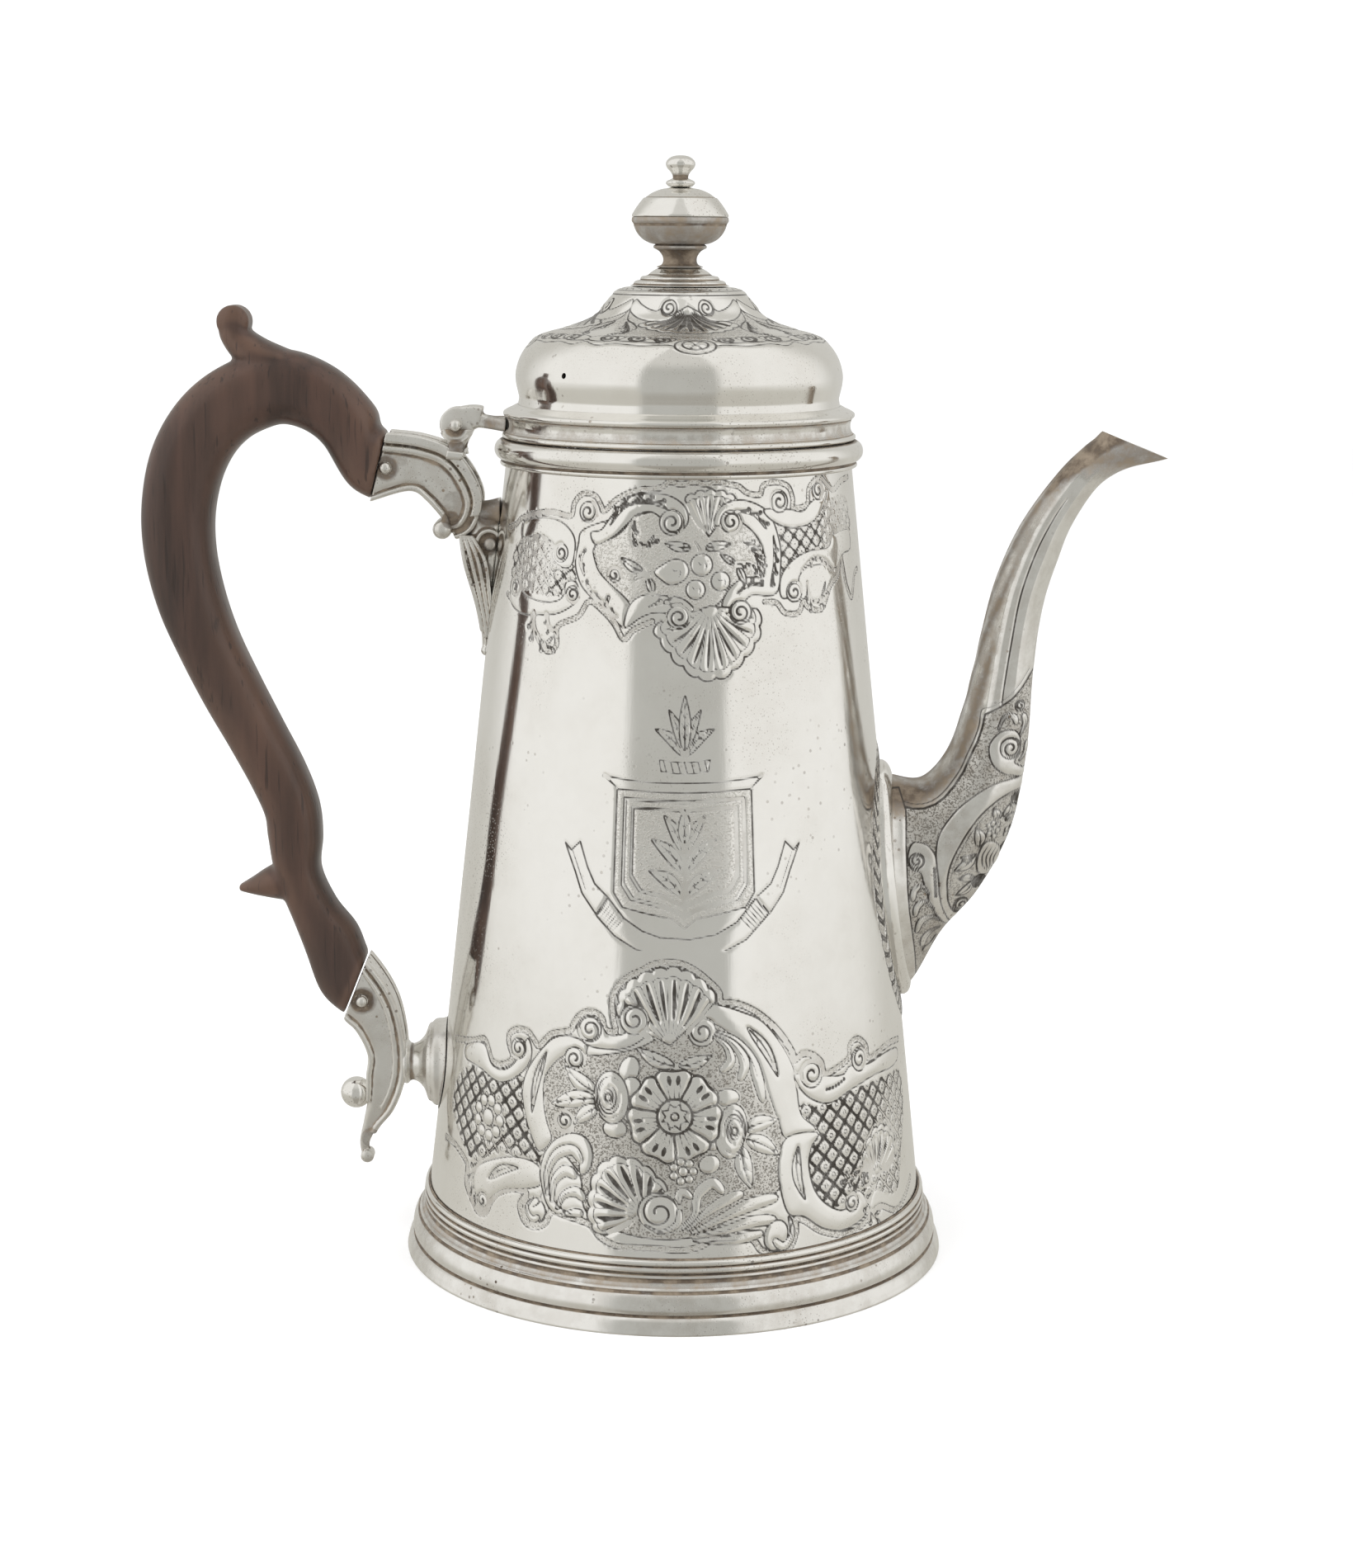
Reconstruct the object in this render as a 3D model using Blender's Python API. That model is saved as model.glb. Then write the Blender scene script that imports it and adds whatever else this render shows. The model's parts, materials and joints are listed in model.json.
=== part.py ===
"""Silver coffee pot: a tapering body with a hinged domed lid, a swan-neck spout and a scrolled wooden handle.

The frame has +Z up, +X towards the spout and -X towards the handle. The origin lies on the table, midway
between the tip of the spout and the back of the handle. Profiles are given in millimetres as (radius, height)
and side outlines as (x, height), both measured from the pot's own upright axis.
"""
import math

import bmesh
import bpy
from mathutils import Matrix, Vector

MM = 0.001

# Driving dimensions, in millimetres
AXIS_X = 5.42                 # the pot's upright axis, from the middle of its overall length
GAP = 0.3                     # clearance between neighbouring pieces
CONE_RADIUS_AT_BASE = 57.6    # radius of the body's cone where it would meet the table
CONE_TAPER = 0.1097           # how much the radius shrinks for each unit of height
BODY_WALL = 0.8
BODY_BOTTOM = 9.5
BODY_TOP = 183.9
RIM_TOP = 184.2
LID_BOTTOM = 184.5
LID_WALL = 0.9
BEZEL_RADIUS = 35.6
BEZEL_BOTTOM = 179.5
FOOT_RADIUS = 61.3
HINGE_X = -48.6
HINGE_Z = 187.1
KNUCKLE_RADIUS = 3.8
HINGE_PIN_RADIUS = 1.2
CENTRE_KNUCKLE_HALF = 2.7
HINGE_HALF_LENGTH = 6.8
SPOUT_BASE_Z = 85.8
SPOUT_WALL = 0.9
APRON_THICKNESS = 2.7
HANDLE_PIN_RADIUS = 1.0
BOSS_Z = 41.8

RING_SIDES = 40
FINIAL_SIDES = 24

SILVER = ("silver", (0.80, 0.79, 0.76), 1.0, 0.16)
DARK_SILVER = ("tarnished_silver", (0.52, 0.49, 0.45), 1.0, 0.28)
FRUITWOOD = ("fruitwood", (0.13, 0.055, 0.030), 0.0, 0.38)


def cone_radius(height):
    """Outer radius of the body at a height."""
    return CONE_RADIUS_AT_BASE - CONE_TAPER * height


# ---------------------------------------------------------------- scene, materials, objects

def clear_scene():
    for old in list(bpy.data.objects):
        bpy.data.objects.remove(old, do_unlink=True)


def principled(label, colour, metallic, roughness):
    material = bpy.data.materials.new(label)
    material.use_nodes = True
    shader = material.node_tree.nodes["Principled BSDF"]
    shader.inputs["Base Color"].default_value = (*colour, 1.0)
    shader.inputs["Metallic"].default_value = metallic
    shader.inputs["Roughness"].default_value = roughness
    return material


def add_empty(name, x, z):
    empty = bpy.data.objects.new(name, None)
    empty.location = (x * MM, 0.0, z * MM)
    bpy.context.collection.objects.link(empty)
    return empty


def add_object(name, mesh, parent, finish):
    """Link a mesh whose points are measured from the pot's axis, under its body's empty."""
    obj = bpy.data.objects.new(name, mesh)
    bpy.context.collection.objects.link(obj)
    obj.parent = parent
    obj.location = Vector((AXIS_X * MM, 0.0, 0.0)) - parent.location
    mesh.materials.append(principled(f"{name}_{finish[0]}", *finish[1:]))
    mesh.shade_smooth()
    mesh.set_sharp_from_angle(angle=math.radians(35.0))
    return obj


def add_cutter(name, mesh):
    cutter = bpy.data.objects.new(name, mesh)
    bpy.context.collection.objects.link(cutter)
    cutter.location = (AXIS_X * MM, 0.0, 0.0)
    cutter.hide_render = True
    cutter.display_type = 'WIRE'
    return cutter


def boolean(obj, cutter, operation):
    modifier = obj.modifiers.new(f"{operation.lower()}_{cutter.name}", 'BOOLEAN')
    modifier.operation = operation
    modifier.solver = 'EXACT'
    modifier.object = cutter


# ---------------------------------------------------------------- mesh tools

def finish_mesh(name, bm):
    """Scale a millimetre bmesh to metres, weld it and turn its faces outwards."""
    bmesh.ops.scale(bm, vec=(MM, MM, MM), verts=bm.verts)
    bmesh.ops.remove_doubles(bm, verts=bm.verts, dist=1e-6)
    bmesh.ops.recalc_face_normals(bm, faces=bm.faces)
    mesh = bpy.data.meshes.new(name)
    bm.to_mesh(mesh)
    bm.free()
    return mesh


def lathe(name, profile, sides=RING_SIDES):
    """Turn a (radius, height) outline about the upright axis.

    A closed outline clear of the axis makes a ring. An outline whose first and last points have radius 0
    makes a solid, and needs no closing edge.
    """
    bm = bmesh.new()
    points = [bm.verts.new((radius, 0.0, height)) for radius, height in profile]
    edges = [bm.edges.new(pair) for pair in zip(points, points[1:])]
    if profile[0][0] > 0.0:
        edges.append(bm.edges.new((points[-1], points[0])))
    bmesh.ops.spin(bm, geom=points + edges, cent=(0.0, 0.0, 0.0), axis=(0.0, 0.0, 1.0),
                   angle=math.tau, steps=sides, use_merge=True, use_duplicate=False)
    return finish_mesh(name, bm)


def inner_offset(outline, wall):
    """Move an open (radius, height) outline inwards by the wall's thickness, along its own normals."""
    moved = []
    for index, (radius, height) in enumerate(outline):
        before = Vector(outline[max(index - 1, 0)])
        after = Vector(outline[min(index + 1, len(outline) - 1)])
        along = (after - before).normalized()
        moved.append((max(radius + along.y * wall, 0.0), height - along.x * wall))
    return moved


def blend(a, b, c, d, t):
    """Catmull-Rom blend from b to c."""
    return 0.5 * (2.0 * b + (c - a) * t + (2.0 * a - 5.0 * b + 4.0 * c - d) * t * t
                  + (3.0 * b - a - 3.0 * c + d) * t * t * t)


def smooth_stations(stations, steps):
    """Fill a short list of stations with a smooth curve through them."""
    filled = []
    last = len(stations) - 1
    for index in range(last):
        around = [stations[min(max(index + k, 0), last)] for k in (-1, 0, 1, 2)]
        for step in range(steps):
            filled.append([blend(*values, step / steps) for values in zip(*around)])
    filled.append(list(stations[-1]))
    return filled


def section(station, sides, power, shrink=0.0):
    """One ring of a swept piece: a superellipse at (x, z), turned by the station's angle."""
    x, z, half_width, half_depth, degrees = station
    angle = math.radians(degrees)
    across = Vector((-math.sin(angle), 0.0, math.cos(angle)))
    ring = []
    for k in range(sides):
        turn = math.tau * (k + 0.5) / sides
        u = math.copysign(abs(math.cos(turn)) ** (2.0 / power), math.cos(turn))
        v = math.copysign(abs(math.sin(turn)) ** (2.0 / power), math.sin(turn))
        point = Vector((x, 0.0, z)) + across * (u * (half_width - shrink))
        point.y = v * (half_depth - shrink)
        ring.append(point)
    return ring


def join_rings(bm, first, second):
    count = len(first)
    for k in range(count):
        bm.faces.new((first[k], first[(k + 1) % count], second[(k + 1) % count], second[k]))


def sweep(name, stations, sides=12, steps=3, power=2.5, grow=0.0):
    """A solid swept through stations of (x, z, half width in the side view, half depth, angle)."""
    bm = bmesh.new()
    rings = [[bm.verts.new(p) for p in section(s, sides, power, -grow)] for s in smooth_stations(stations, steps)]
    for first, second in zip(rings, rings[1:]):
        join_rings(bm, first, second)
    bm.faces.new(rings[0])
    bm.faces.new(rings[-1])
    return finish_mesh(name, bm)


def tube(name, stations, wall, sides, steps, power):
    """An open-ended tube: an outer and an inner sweep, joined by a flat lip at each end."""
    bm = bmesh.new()
    filled = smooth_stations(stations, steps)
    outer = [[bm.verts.new(p) for p in section(s, sides, power)] for s in filled]
    inner = [[bm.verts.new(p) for p in section(s, sides, power, wall)] for s in filled]
    for skin in (outer, inner):
        for first, second in zip(skin, skin[1:]):
            join_rings(bm, first, second)
    join_rings(bm, outer[0], inner[0])
    join_rings(bm, outer[-1], inner[-1])
    return finish_mesh(name, bm)


def rod(name, x, z, radius, low_y, high_y, sides=16, dome=0.0):
    """A round bar across the pot, along Y, with optional domed ends."""
    profile = [(0.0, low_y - dome), (radius, low_y), (radius, high_y), (0.0, high_y + dome)]
    bm = bmesh.new()
    points = [bm.verts.new((r, y, 0.0)) for r, y in profile]
    edges = [bm.edges.new(pair) for pair in zip(points, points[1:])]
    bmesh.ops.spin(bm, geom=points + edges, cent=(0.0, 0.0, 0.0), axis=(0.0, 1.0, 0.0),
                   angle=math.tau, steps=sides, use_merge=True, use_duplicate=False)
    bmesh.ops.translate(bm, vec=(x, 0.0, z), verts=bm.verts)
    return finish_mesh(name, bm)


def box(name, low, high):
    bm = bmesh.new()
    bmesh.ops.create_cube(bm, size=1.0)
    size = Vector(high) - Vector(low)
    bmesh.ops.scale(bm, vec=size, verts=bm.verts)
    bmesh.ops.translate(bm, vec=(Vector(low) + Vector(high)) / 2.0, verts=bm.verts)
    return finish_mesh(name, bm)


def cone_solid(name, offset, low=-5.0, high=200.0):
    """The body's cone as a solid, grown by an offset, to shape what is fitted against it."""
    profile = [(0.0, high), (cone_radius(high) + offset, high), (cone_radius(low) + offset, low), (0.0, low)]
    return lathe(name, profile)


# ---------------------------------------------------------------- body and foot

def make_body(pot):
    outer = [(cone_radius(BODY_TOP), BODY_TOP), (cone_radius(BODY_BOTTOM), BODY_BOTTOM)]
    inner = [(radius - BODY_WALL, height) for radius, height in reversed(outer)]
    body = add_object("body_shell", lathe("body_shell", outer + inner), pot, SILVER)
    boolean(body, add_cutter("strainer_drill", strainer_holes()), 'DIFFERENCE')

    plate = [(0.0, 11.4), (30.0, 11.2), (55.1, 10.7), (55.1, 9.8), (30.0, 10.3), (0.0, 10.5)]
    add_object("base_plate", lathe("base_plate", plate), pot, SILVER)


def strainer_holes():
    """Rods along X that pierce the body behind the spout in a diamond pattern."""
    hole_radius = 1.5
    pitch = 5.2
    bm = bmesh.new()
    for row in range(-3, 4):
        columns = 3 if row % 2 == 0 else 2
        for column in range(columns):
            y = (column - (columns - 1) / 2.0) * pitch
            z = SPOUT_BASE_Z + row * pitch
            place = Matrix.Translation((50.0, y, z)) @ Matrix.Rotation(math.pi / 2.0, 4, 'Y')
            bmesh.ops.create_cone(bm, cap_ends=True, segments=8, radius1=hole_radius, radius2=hole_radius,
                                  depth=20.0, matrix=place)
    return finish_mesh("strainer_drill", bm)


def make_foot(pot):
    wire = [(56.6, 15.2), (57.05, 14.8), (57.05, 14.1), (56.75, 13.8), (57.2, 13.4), (57.2, 12.7), (56.9, 12.3)]
    wire_inner = [(cone_radius(12.3) + GAP, 12.3), (cone_radius(15.2) + GAP, 15.2)]
    add_object("foot_wire", lathe("foot_wire", wire + wire_inner), pot, SILVER)

    moulding = [(57.2, 12.0), (57.5, 11.2), (58.2, 10.0), (58.4, 9.2), (58.3, 8.2), (59.0, 7.4), (59.6, 6.2),
                (59.9, 4.9), (59.8, 3.8), (60.4, 3.4), (61.0, 1.6), (FOOT_RADIUS, 0.3), (FOOT_RADIUS, 0.0)]
    moulding_inner = [(58.9, 0.0), (58.3, 2.0), (57.2, 8.0), (cone_radius(9.2) + GAP, 9.2),
                      (cone_radius(12.0) + GAP, 12.0)]
    add_object("foot_ring", lathe("foot_ring", moulding + moulding_inner), pot, SILVER)


def make_rim(pot):
    outer = [(38.6, RIM_TOP), (39.5, 183.8), (40.2, 183.1), (40.4, 182.0), (40.2, 181.0), (39.5, 180.1),
             (38.9, 179.7), (39.2, 179.4), (39.1, 178.7), (38.7, 178.4)]
    inner = [(cone_radius(178.4) + GAP, 178.4), (cone_radius(RIM_TOP) + GAP, RIM_TOP)]
    add_object("rim_moulding", lathe("rim_moulding", outer + inner), pot, SILVER)


# ---------------------------------------------------------------- lid and finial

def make_lid(lid):
    dome = [(0.0, 217.1), (9.0, 217.1), (13.5, 216.5), (14.8, 215.6), (16.3, 213.7), (18.1, 211.5), (21.2, 209.4),
            (24.5, 208.3), (29.0, 207.2), (31.6, 206.1), (33.4, 204.0), (35.0, 201.8), (35.8, 198.6),
            (35.5, 196.5), (35.0, 194.0), (35.2, 192.8), (35.3, 191.8), (35.3, 188.4)]
    under = list(reversed(inner_offset(dome[::2] + dome[-1:], LID_WALL)))
    under[0] = (under[0][0], dome[-1][1])
    cover = add_object("lid_cover", lathe("lid_cover", dome + under), lid, SILVER)
    vent = lathe("vent_drill", [(0.0, 12.0), (0.6, 12.0), (0.6, -12.0), (0.0, -12.0)], sides=10)
    drill = add_cutter("vent_drill", vent)
    drill.location = ((AXIS_X - 24.3) * MM, -26.3 * MM, 199.0 * MM)
    drill.rotation_euler = (0.0, math.radians(90.0), math.atan2(-26.3, -24.3))
    boolean(cover, drill, 'DIFFERENCE')

    flange = [(35.8, 191.6), (36.3, 191.1), (37.6, 190.4), (38.3, 190.0), (38.4, 189.4), (37.7, 188.2),
              (37.6, 187.0), (38.2, 185.3), (38.7, 184.8), (38.6, LID_BOTTOM), (36.0, LID_BOTTOM),
              (36.0, 188.2), (35.7, 188.5)]
    add_object("lid_flange", lathe("lid_flange", flange), lid, SILVER)

    bezel = [(BEZEL_RADIUS, 188.0), (BEZEL_RADIUS, BEZEL_BOTTOM), (BEZEL_RADIUS - 0.8, BEZEL_BOTTOM),
             (BEZEL_RADIUS - 0.8, 188.0)]
    add_object("lid_bezel", lathe("lid_bezel", bezel), lid, SILVER)


def make_finial(lid):
    foot = [(0.0, 221.0), (5.2, 221.0), (6.6, 220.2), (6.9, 219.5), (8.3, 219.2), (8.6, 218.6), (9.8, 218.3),
            (10.1, 217.4), (0.0, 217.4)]
    lower = [(0.0, 231.7), (10.5, 231.7), (10.5, 231.0), (9.9, 229.8), (9.0, 228.0), (8.1, 227.1), (6.6, 226.3),
             (5.4, 225.9), (5.6, 225.4), (4.3, 224.4), (3.7, 223.2), (4.0, 222.1), (5.0, 221.3), (0.0, 221.3)]
    upper = [(0.0, 238.1), (2.4, 238.1), (4.4, 237.7), (6.5, 236.8), (7.75, 235.9), (8.7, 235.0), (9.9, 233.3),
             (10.5, 232.5), (10.5, 232.0), (0.0, 232.0)]
    button = [(0.0, 245.0), (1.8, 244.8), (2.9, 244.2), (3.2, 243.3), (2.9, 242.3), (1.9, 241.3), (1.6, 240.2),
              (1.9, 239.5), (3.0, 239.1), (3.0, 238.6), (2.3, 238.4), (0.0, 238.4)]
    add_object("finial_foot", lathe("finial_foot", foot, FINIAL_SIDES), lid, SILVER)
    add_object("finial_lower", lathe("finial_lower", lower, FINIAL_SIDES), lid, DARK_SILVER)
    add_object("finial_upper", lathe("finial_upper", upper, FINIAL_SIDES), lid, SILVER)
    add_object("finial_button", lathe("finial_button", button, 16), lid, SILVER)


# ---------------------------------------------------------------- spout

# (x, z, half width, half depth, angle), from the body to the lip
SPOUT_STATIONS = (
    (46.0, 85.3, 26.0, 14.0, 6.0),
    (51.2, 85.8, 23.7, 12.6, 6.0),
    (57.6, 91.3, 17.8, 11.6, 8.0),
    (64.1, 98.7, 16.2, 11.0, 13.5),
    (68.9, 108.9, 14.0, 10.2, 24.5),
    (71.4, 120.0, 10.2, 9.0, 41.0),
    (72.6, 130.8, 7.3, 7.8, 64.0),
    (73.7, 140.3, 6.3, 7.0, 79.0),
    (75.7, 150.8, 5.9, 6.6, 79.0),
    (79.0, 160.4, 5.5, 6.2, 71.0),
    (82.5, 167.8, 4.8, 5.8, 61.0),
    (87.8, 175.6, 4.3, 5.4, 54.0),
    (92.2, 179.8, 4.4, 5.2, 46.0),
    (95.9, 181.9, 5.3, 5.4, 55.0),
    (100.4, 183.6, 7.9, 5.6, 68.0),
)


def make_spout(pot, gap_cone):
    spout = add_object("spout", tube("spout", SPOUT_STATIONS, SPOUT_WALL, sides=14, steps=2, power=2.1), pot, SILVER)
    seat = add_cutter("spout_seat", cone_solid("spout_seat", APRON_THICKNESS + 2.0 * GAP))
    boolean(spout, seat, 'DIFFERENCE')

    apron = add_object("spout_apron", oval_ring("spout_apron", 27.0, 14.6, 22.0, 10.6), pot, SILVER)
    boolean(apron, gap_cone, 'DIFFERENCE')
    face = add_cutter("apron_face", cone_solid("apron_face", APRON_THICKNESS + GAP))
    boolean(apron, face, 'INTERSECT')


def oval_ring(name, outer_height, outer_width, inner_height, inner_width, sides=24):
    """A tube of oval section along X, round the spout's foot."""
    bm = bmesh.new()
    rings = []
    for x, height, width in ((40.0, outer_height, outer_width), (64.0, outer_height, outer_width),
                             (64.0, inner_height, inner_width), (40.0, inner_height, inner_width)):
        ring = []
        for k in range(sides):
            turn = math.tau * (k + 0.5) / sides
            ring.append(bm.verts.new((x, width * math.cos(turn), SPOUT_BASE_Z + height * math.sin(turn))))
        rings.append(ring)
    for first, second in zip(rings, rings[1:] + rings[:1]):
        join_rings(bm, first, second)
    return finish_mesh(name, bm)


# ---------------------------------------------------------------- wooden handle

# (x, z, half width, half depth, angle), from the upper socket round the grip to the lower socket
HANDLE_STATIONS = (
    (-65.9, 178.1, 7.6, 6.8, -14.0),
    (-69.0, 180.4, 7.5, 6.9, -28.0),
    (-72.6, 187.0, 7.0, 7.1, -50.0),
    (-79.2, 192.7, 7.6, 7.4, -26.0),
    (-87.5, 195.0, 8.2, 7.6, 2.0),
    (-96.5, 192.0, 8.2, 7.8, 32.0),
    (-103.2, 186.6, 8.2, 7.9, 52.0),
    (-107.9, 178.6, 8.3, 8.0, 70.0),
    (-110.2, 168.5, 8.3, 8.0, 84.0),
    (-110.1, 158.5, 8.0, 7.9, 97.0),
    (-107.9, 148.0, 7.5, 7.7, 107.0),
    (-104.2, 138.0, 7.0, 7.5, 114.0),
    (-99.4, 127.8, 6.8, 7.3, 116.0),
    (-94.0, 117.5, 6.5, 7.1, 117.0),
    (-89.4, 108.5, 6.4, 6.9, 115.0),
    (-86.5, 101.0, 6.2, 6.7, 105.0),
    (-85.8, 94.5, 6.1, 6.5, 91.0),
    (-85.3, 86.5, 5.2, 6.3, 97.0),
    (-81.9, 77.8, 5.3, 6.2, 115.0),
    (-78.2, 70.9, 6.5, 6.3, 120.0),
    (-75.5, 63.8, 7.2, 6.5, 135.0),
    (-72.7, 60.3, 7.2, 6.6, 158.5),
)
THUMB_STATIONS = (
    (-78.0, 196.0, 3.6, 6.4, -14.0),
    (-86.0, 199.0, 4.0, 6.6, -18.0),
    (-92.8, 202.2, 3.9, 6.0, -36.0),
    (-96.6, 206.0, 3.4, 5.0, -68.0),
    (-97.2, 209.0, 3.3, 4.6, -88.0),
)
SPUR_STATIONS = (
    (-86.0, 84.4, 5.0, 5.6, 190.0),
    (-91.0, 83.8, 3.8, 4.8, 192.0),
    (-95.2, 82.9, 2.1, 3.6, 196.0),
    (-98.7, 82.3, 0.7, 1.6, 200.0),
)
UPPER_PIN = (-64.0, 177.8)
LOWER_PIN = (-70.9, 57.5)


def tenon_stations(end, length, half_width, half_depth):
    """A straight tongue that runs from inside the wood into its socket."""
    x, z, _, _, degrees = end
    angle = math.radians(degrees)
    along = (math.cos(angle), math.sin(angle)) if degrees < 90.0 else (-math.cos(angle), -math.sin(angle))
    return tuple((x + along[0] * run, z + along[1] * run, half_width, half_depth, degrees) for run in (-4.0, length))


UPPER_TENON = tenon_stations(HANDLE_STATIONS[0], 8.0, 5.0, 4.6)
LOWER_TENON = tenon_stations(HANDLE_STATIONS[-1], 5.5, 4.2, 4.2)


def make_handle(pot):
    wood = add_object("wood_handle", sweep("wood_handle", HANDLE_STATIONS, sides=12, steps=2), pot, FRUITWOOD)
    for name, stations in (("thumb_scroll", THUMB_STATIONS), ("lower_spur", SPUR_STATIONS)):
        boolean(wood, add_cutter(name, sweep(name, stations, sides=10, steps=2)), 'UNION')
    boolean(wood, add_cutter("thumb_curl", rod("thumb_curl", -97.0, 209.0, 3.7, -4.8, 4.8)), 'UNION')
    for name, stations in (("upper_tenon", UPPER_TENON), ("lower_tenon", LOWER_TENON)):
        boolean(wood, add_cutter(name, sweep(name, stations, sides=8, steps=1)), 'UNION')
    for name, (x, z) in (("upper_pin_hole", UPPER_PIN), ("lower_pin_hole", LOWER_PIN)):
        hole = rod(name, x, z, HANDLE_PIN_RADIUS + GAP, -12.0, 12.0, sides=12)
        boolean(wood, add_cutter(name, hole), 'DIFFERENCE')
    add_object("upper_handle_pin", rod("upper_handle_pin", *UPPER_PIN, HANDLE_PIN_RADIUS, -7.2, 7.2, 12, 0.3),
               pot, SILVER)
    add_object("lower_handle_pin", rod("lower_handle_pin", *LOWER_PIN, HANDLE_PIN_RADIUS, -7.0, 7.0, 12, 0.3),
               pot, SILVER)


# ---------------------------------------------------------------- upper socket, its bracket and the hinge

UPPER_SOCKET_STATIONS = (
    (-65.6, 178.0, 7.7, 6.9, -14.0),
    (-57.4, 178.7, 6.0, 6.6, -14.0),
    (-51.8, 176.0, 6.2, 6.3, -33.0),
    (-47.7, 170.0, 5.2, 5.8, -60.0),
    (-48.0, 165.4, 3.4, 5.0, -96.0),
    (-50.0, 163.9, 2.2, 4.6, -150.0),
)
# The fixed half of the hinge sits in a notch across the top of the socket
HINGE_NOTCH = ((-50.9, -7.2, 180.3), (-46.9, 7.2, 182.7))


def make_upper_socket(pot, gap_cone):
    mesh = sweep("upper_socket", UPPER_SOCKET_STATIONS, sides=12, steps=3, power=4.0)
    socket = add_object("upper_socket", mesh, pot, SILVER)
    curl = rod("upper_curl", -51.9, 164.2, 2.1, -4.2, 4.2)
    boolean(socket, add_cutter("upper_curl", curl), 'UNION')
    pocket = sweep("upper_pocket", UPPER_TENON, sides=8, steps=1, grow=GAP)
    boolean(socket, add_cutter("upper_pocket", pocket), 'DIFFERENCE')
    boolean(socket, bpy.data.objects["upper_pin_hole"], 'DIFFERENCE')
    low, high = (Vector(corner) for corner in HINGE_NOTCH)
    notch = box("hinge_notch", low - Vector((GAP, 1.0, GAP)), high + Vector((GAP, 1.0, 8.0)))
    boolean(socket, add_cutter("hinge_notch", notch), 'DIFFERENCE')

    stations = (
        (-46.4, 163.2, 1.6, 3.4, -92.0),
        (-44.2, 157.0, 2.8, 4.6, -84.0),
        (-42.6, 148.0, 2.2, 3.4, -84.0),
        (-42.0, 141.0, 1.6, 2.4, -86.0),
        (-42.5, 136.8, 1.0, 1.6, -90.0),
    )
    bracket = add_object("upper_bracket", sweep("upper_bracket", stations, sides=10, steps=3), pot, SILVER)
    arm = sweep("bracket_arm", ((-43.6, 168.2, 2.3, 3.6, 0.0), (-37.0, 168.2, 2.8, 4.2, 0.0)), sides=10, steps=1)
    boolean(bracket, add_cutter("bracket_arm", arm), 'UNION')
    web = sweep("bracket_web", ((-41.2, 168.4, 1.9, 2.6, -90.0), (-41.6, 156.0, 1.9, 2.6, -90.0)), sides=8, steps=1)
    boolean(bracket, add_cutter("bracket_web", web), 'UNION')
    boolean(bracket, gap_cone, 'DIFFERENCE')
    clearance = sweep("socket_clearance", UPPER_SOCKET_STATIONS, sides=12, steps=3, power=4.0, grow=GAP)
    boolean(bracket, add_cutter("socket_clearance", clearance), 'DIFFERENCE')
    curl_clearance = rod("curl_clearance", -51.9, 164.2, 2.1 + GAP, -4.5, 4.5)
    boolean(bracket, add_cutter("curl_clearance", curl_clearance), 'DIFFERENCE')


def make_hinge(pot, lid):
    low, high = HINGE_NOTCH
    stem = add_object("hinge_stem", box("hinge_stem", (low[0], -HINGE_HALF_LENGTH, low[2]),
                                        (high[0], HINGE_HALF_LENGTH, high[2])), pot, SILVER)
    inner = CENTRE_KNUCKLE_HALF + GAP
    for side, near, far in (("front", -HINGE_HALF_LENGTH, -inner), ("back", inner, HINGE_HALF_LENGTH)):
        ear = box(f"ear_{side}", (low[0] + 0.1, near, low[2] + 0.4), (high[0] - 0.1, far, HINGE_Z))
        boolean(stem, add_cutter(f"ear_{side}", ear), 'UNION')
        knuckle = rod(f"knuckle_{side}", HINGE_X, HINGE_Z, KNUCKLE_RADIUS, near, far, sides=20)
        boolean(stem, add_cutter(f"knuckle_{side}", knuckle), 'UNION')
    bore = add_cutter("hinge_bore", rod("hinge_bore", HINGE_X, HINGE_Z, HINGE_PIN_RADIUS + GAP, -12.0, 12.0))
    boolean(stem, bore, 'DIFFERENCE')

    leaf = add_object("hinge_lid_leaf", rod("hinge_lid_leaf", HINGE_X, HINGE_Z, KNUCKLE_RADIUS,
                                            -CENTRE_KNUCKLE_HALF, CENTRE_KNUCKLE_HALF, sides=20), lid, SILVER)
    stations = ((-47.4, 190.3, 1.7, 2.5, -18.0), (-43.6, 189.2, 1.7, 2.7, -20.0), (-39.2, 187.3, 1.7, 4.4, -14.0))
    arm = sweep("leaf_arm", stations, sides=8, steps=2, power=4.0)
    boolean(leaf, add_cutter("leaf_arm", arm), 'UNION')
    flange_face = lathe("flange_clearance", [(0.0, 196.0), (39.0, 196.0), (39.0, 180.0), (0.0, 180.0)])
    boolean(leaf, add_cutter("flange_clearance", flange_face), 'DIFFERENCE')
    boolean(leaf, bore, 'DIFFERENCE')

    pin = rod("hinge_pin", HINGE_X, HINGE_Z, HINGE_PIN_RADIUS, -7.1, 7.1, 16, 0.5)
    add_object("hinge_pin", pin, pot, SILVER)


# ---------------------------------------------------------------- lower socket and boss

LOWER_SOCKET_STATIONS = (
    (-72.4, 60.05, 7.3, 6.7, 158.5),
    (-68.0, 53.6, 5.6, 6.2, 124.0),
    (-65.6, 45.2, 4.4, 5.6, 96.0),
    (-66.0, 38.8, 4.4, 5.2, 80.0),
    (-67.4, 32.6, 3.5, 4.6, 66.0),
    (-69.6, 27.6, 2.2, 3.8, 64.0),
    (-71.2, 22.8, 1.5, 3.0, 78.0),
    (-71.0, 19.6, 1.2, 2.4, 100.0),
)


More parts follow.
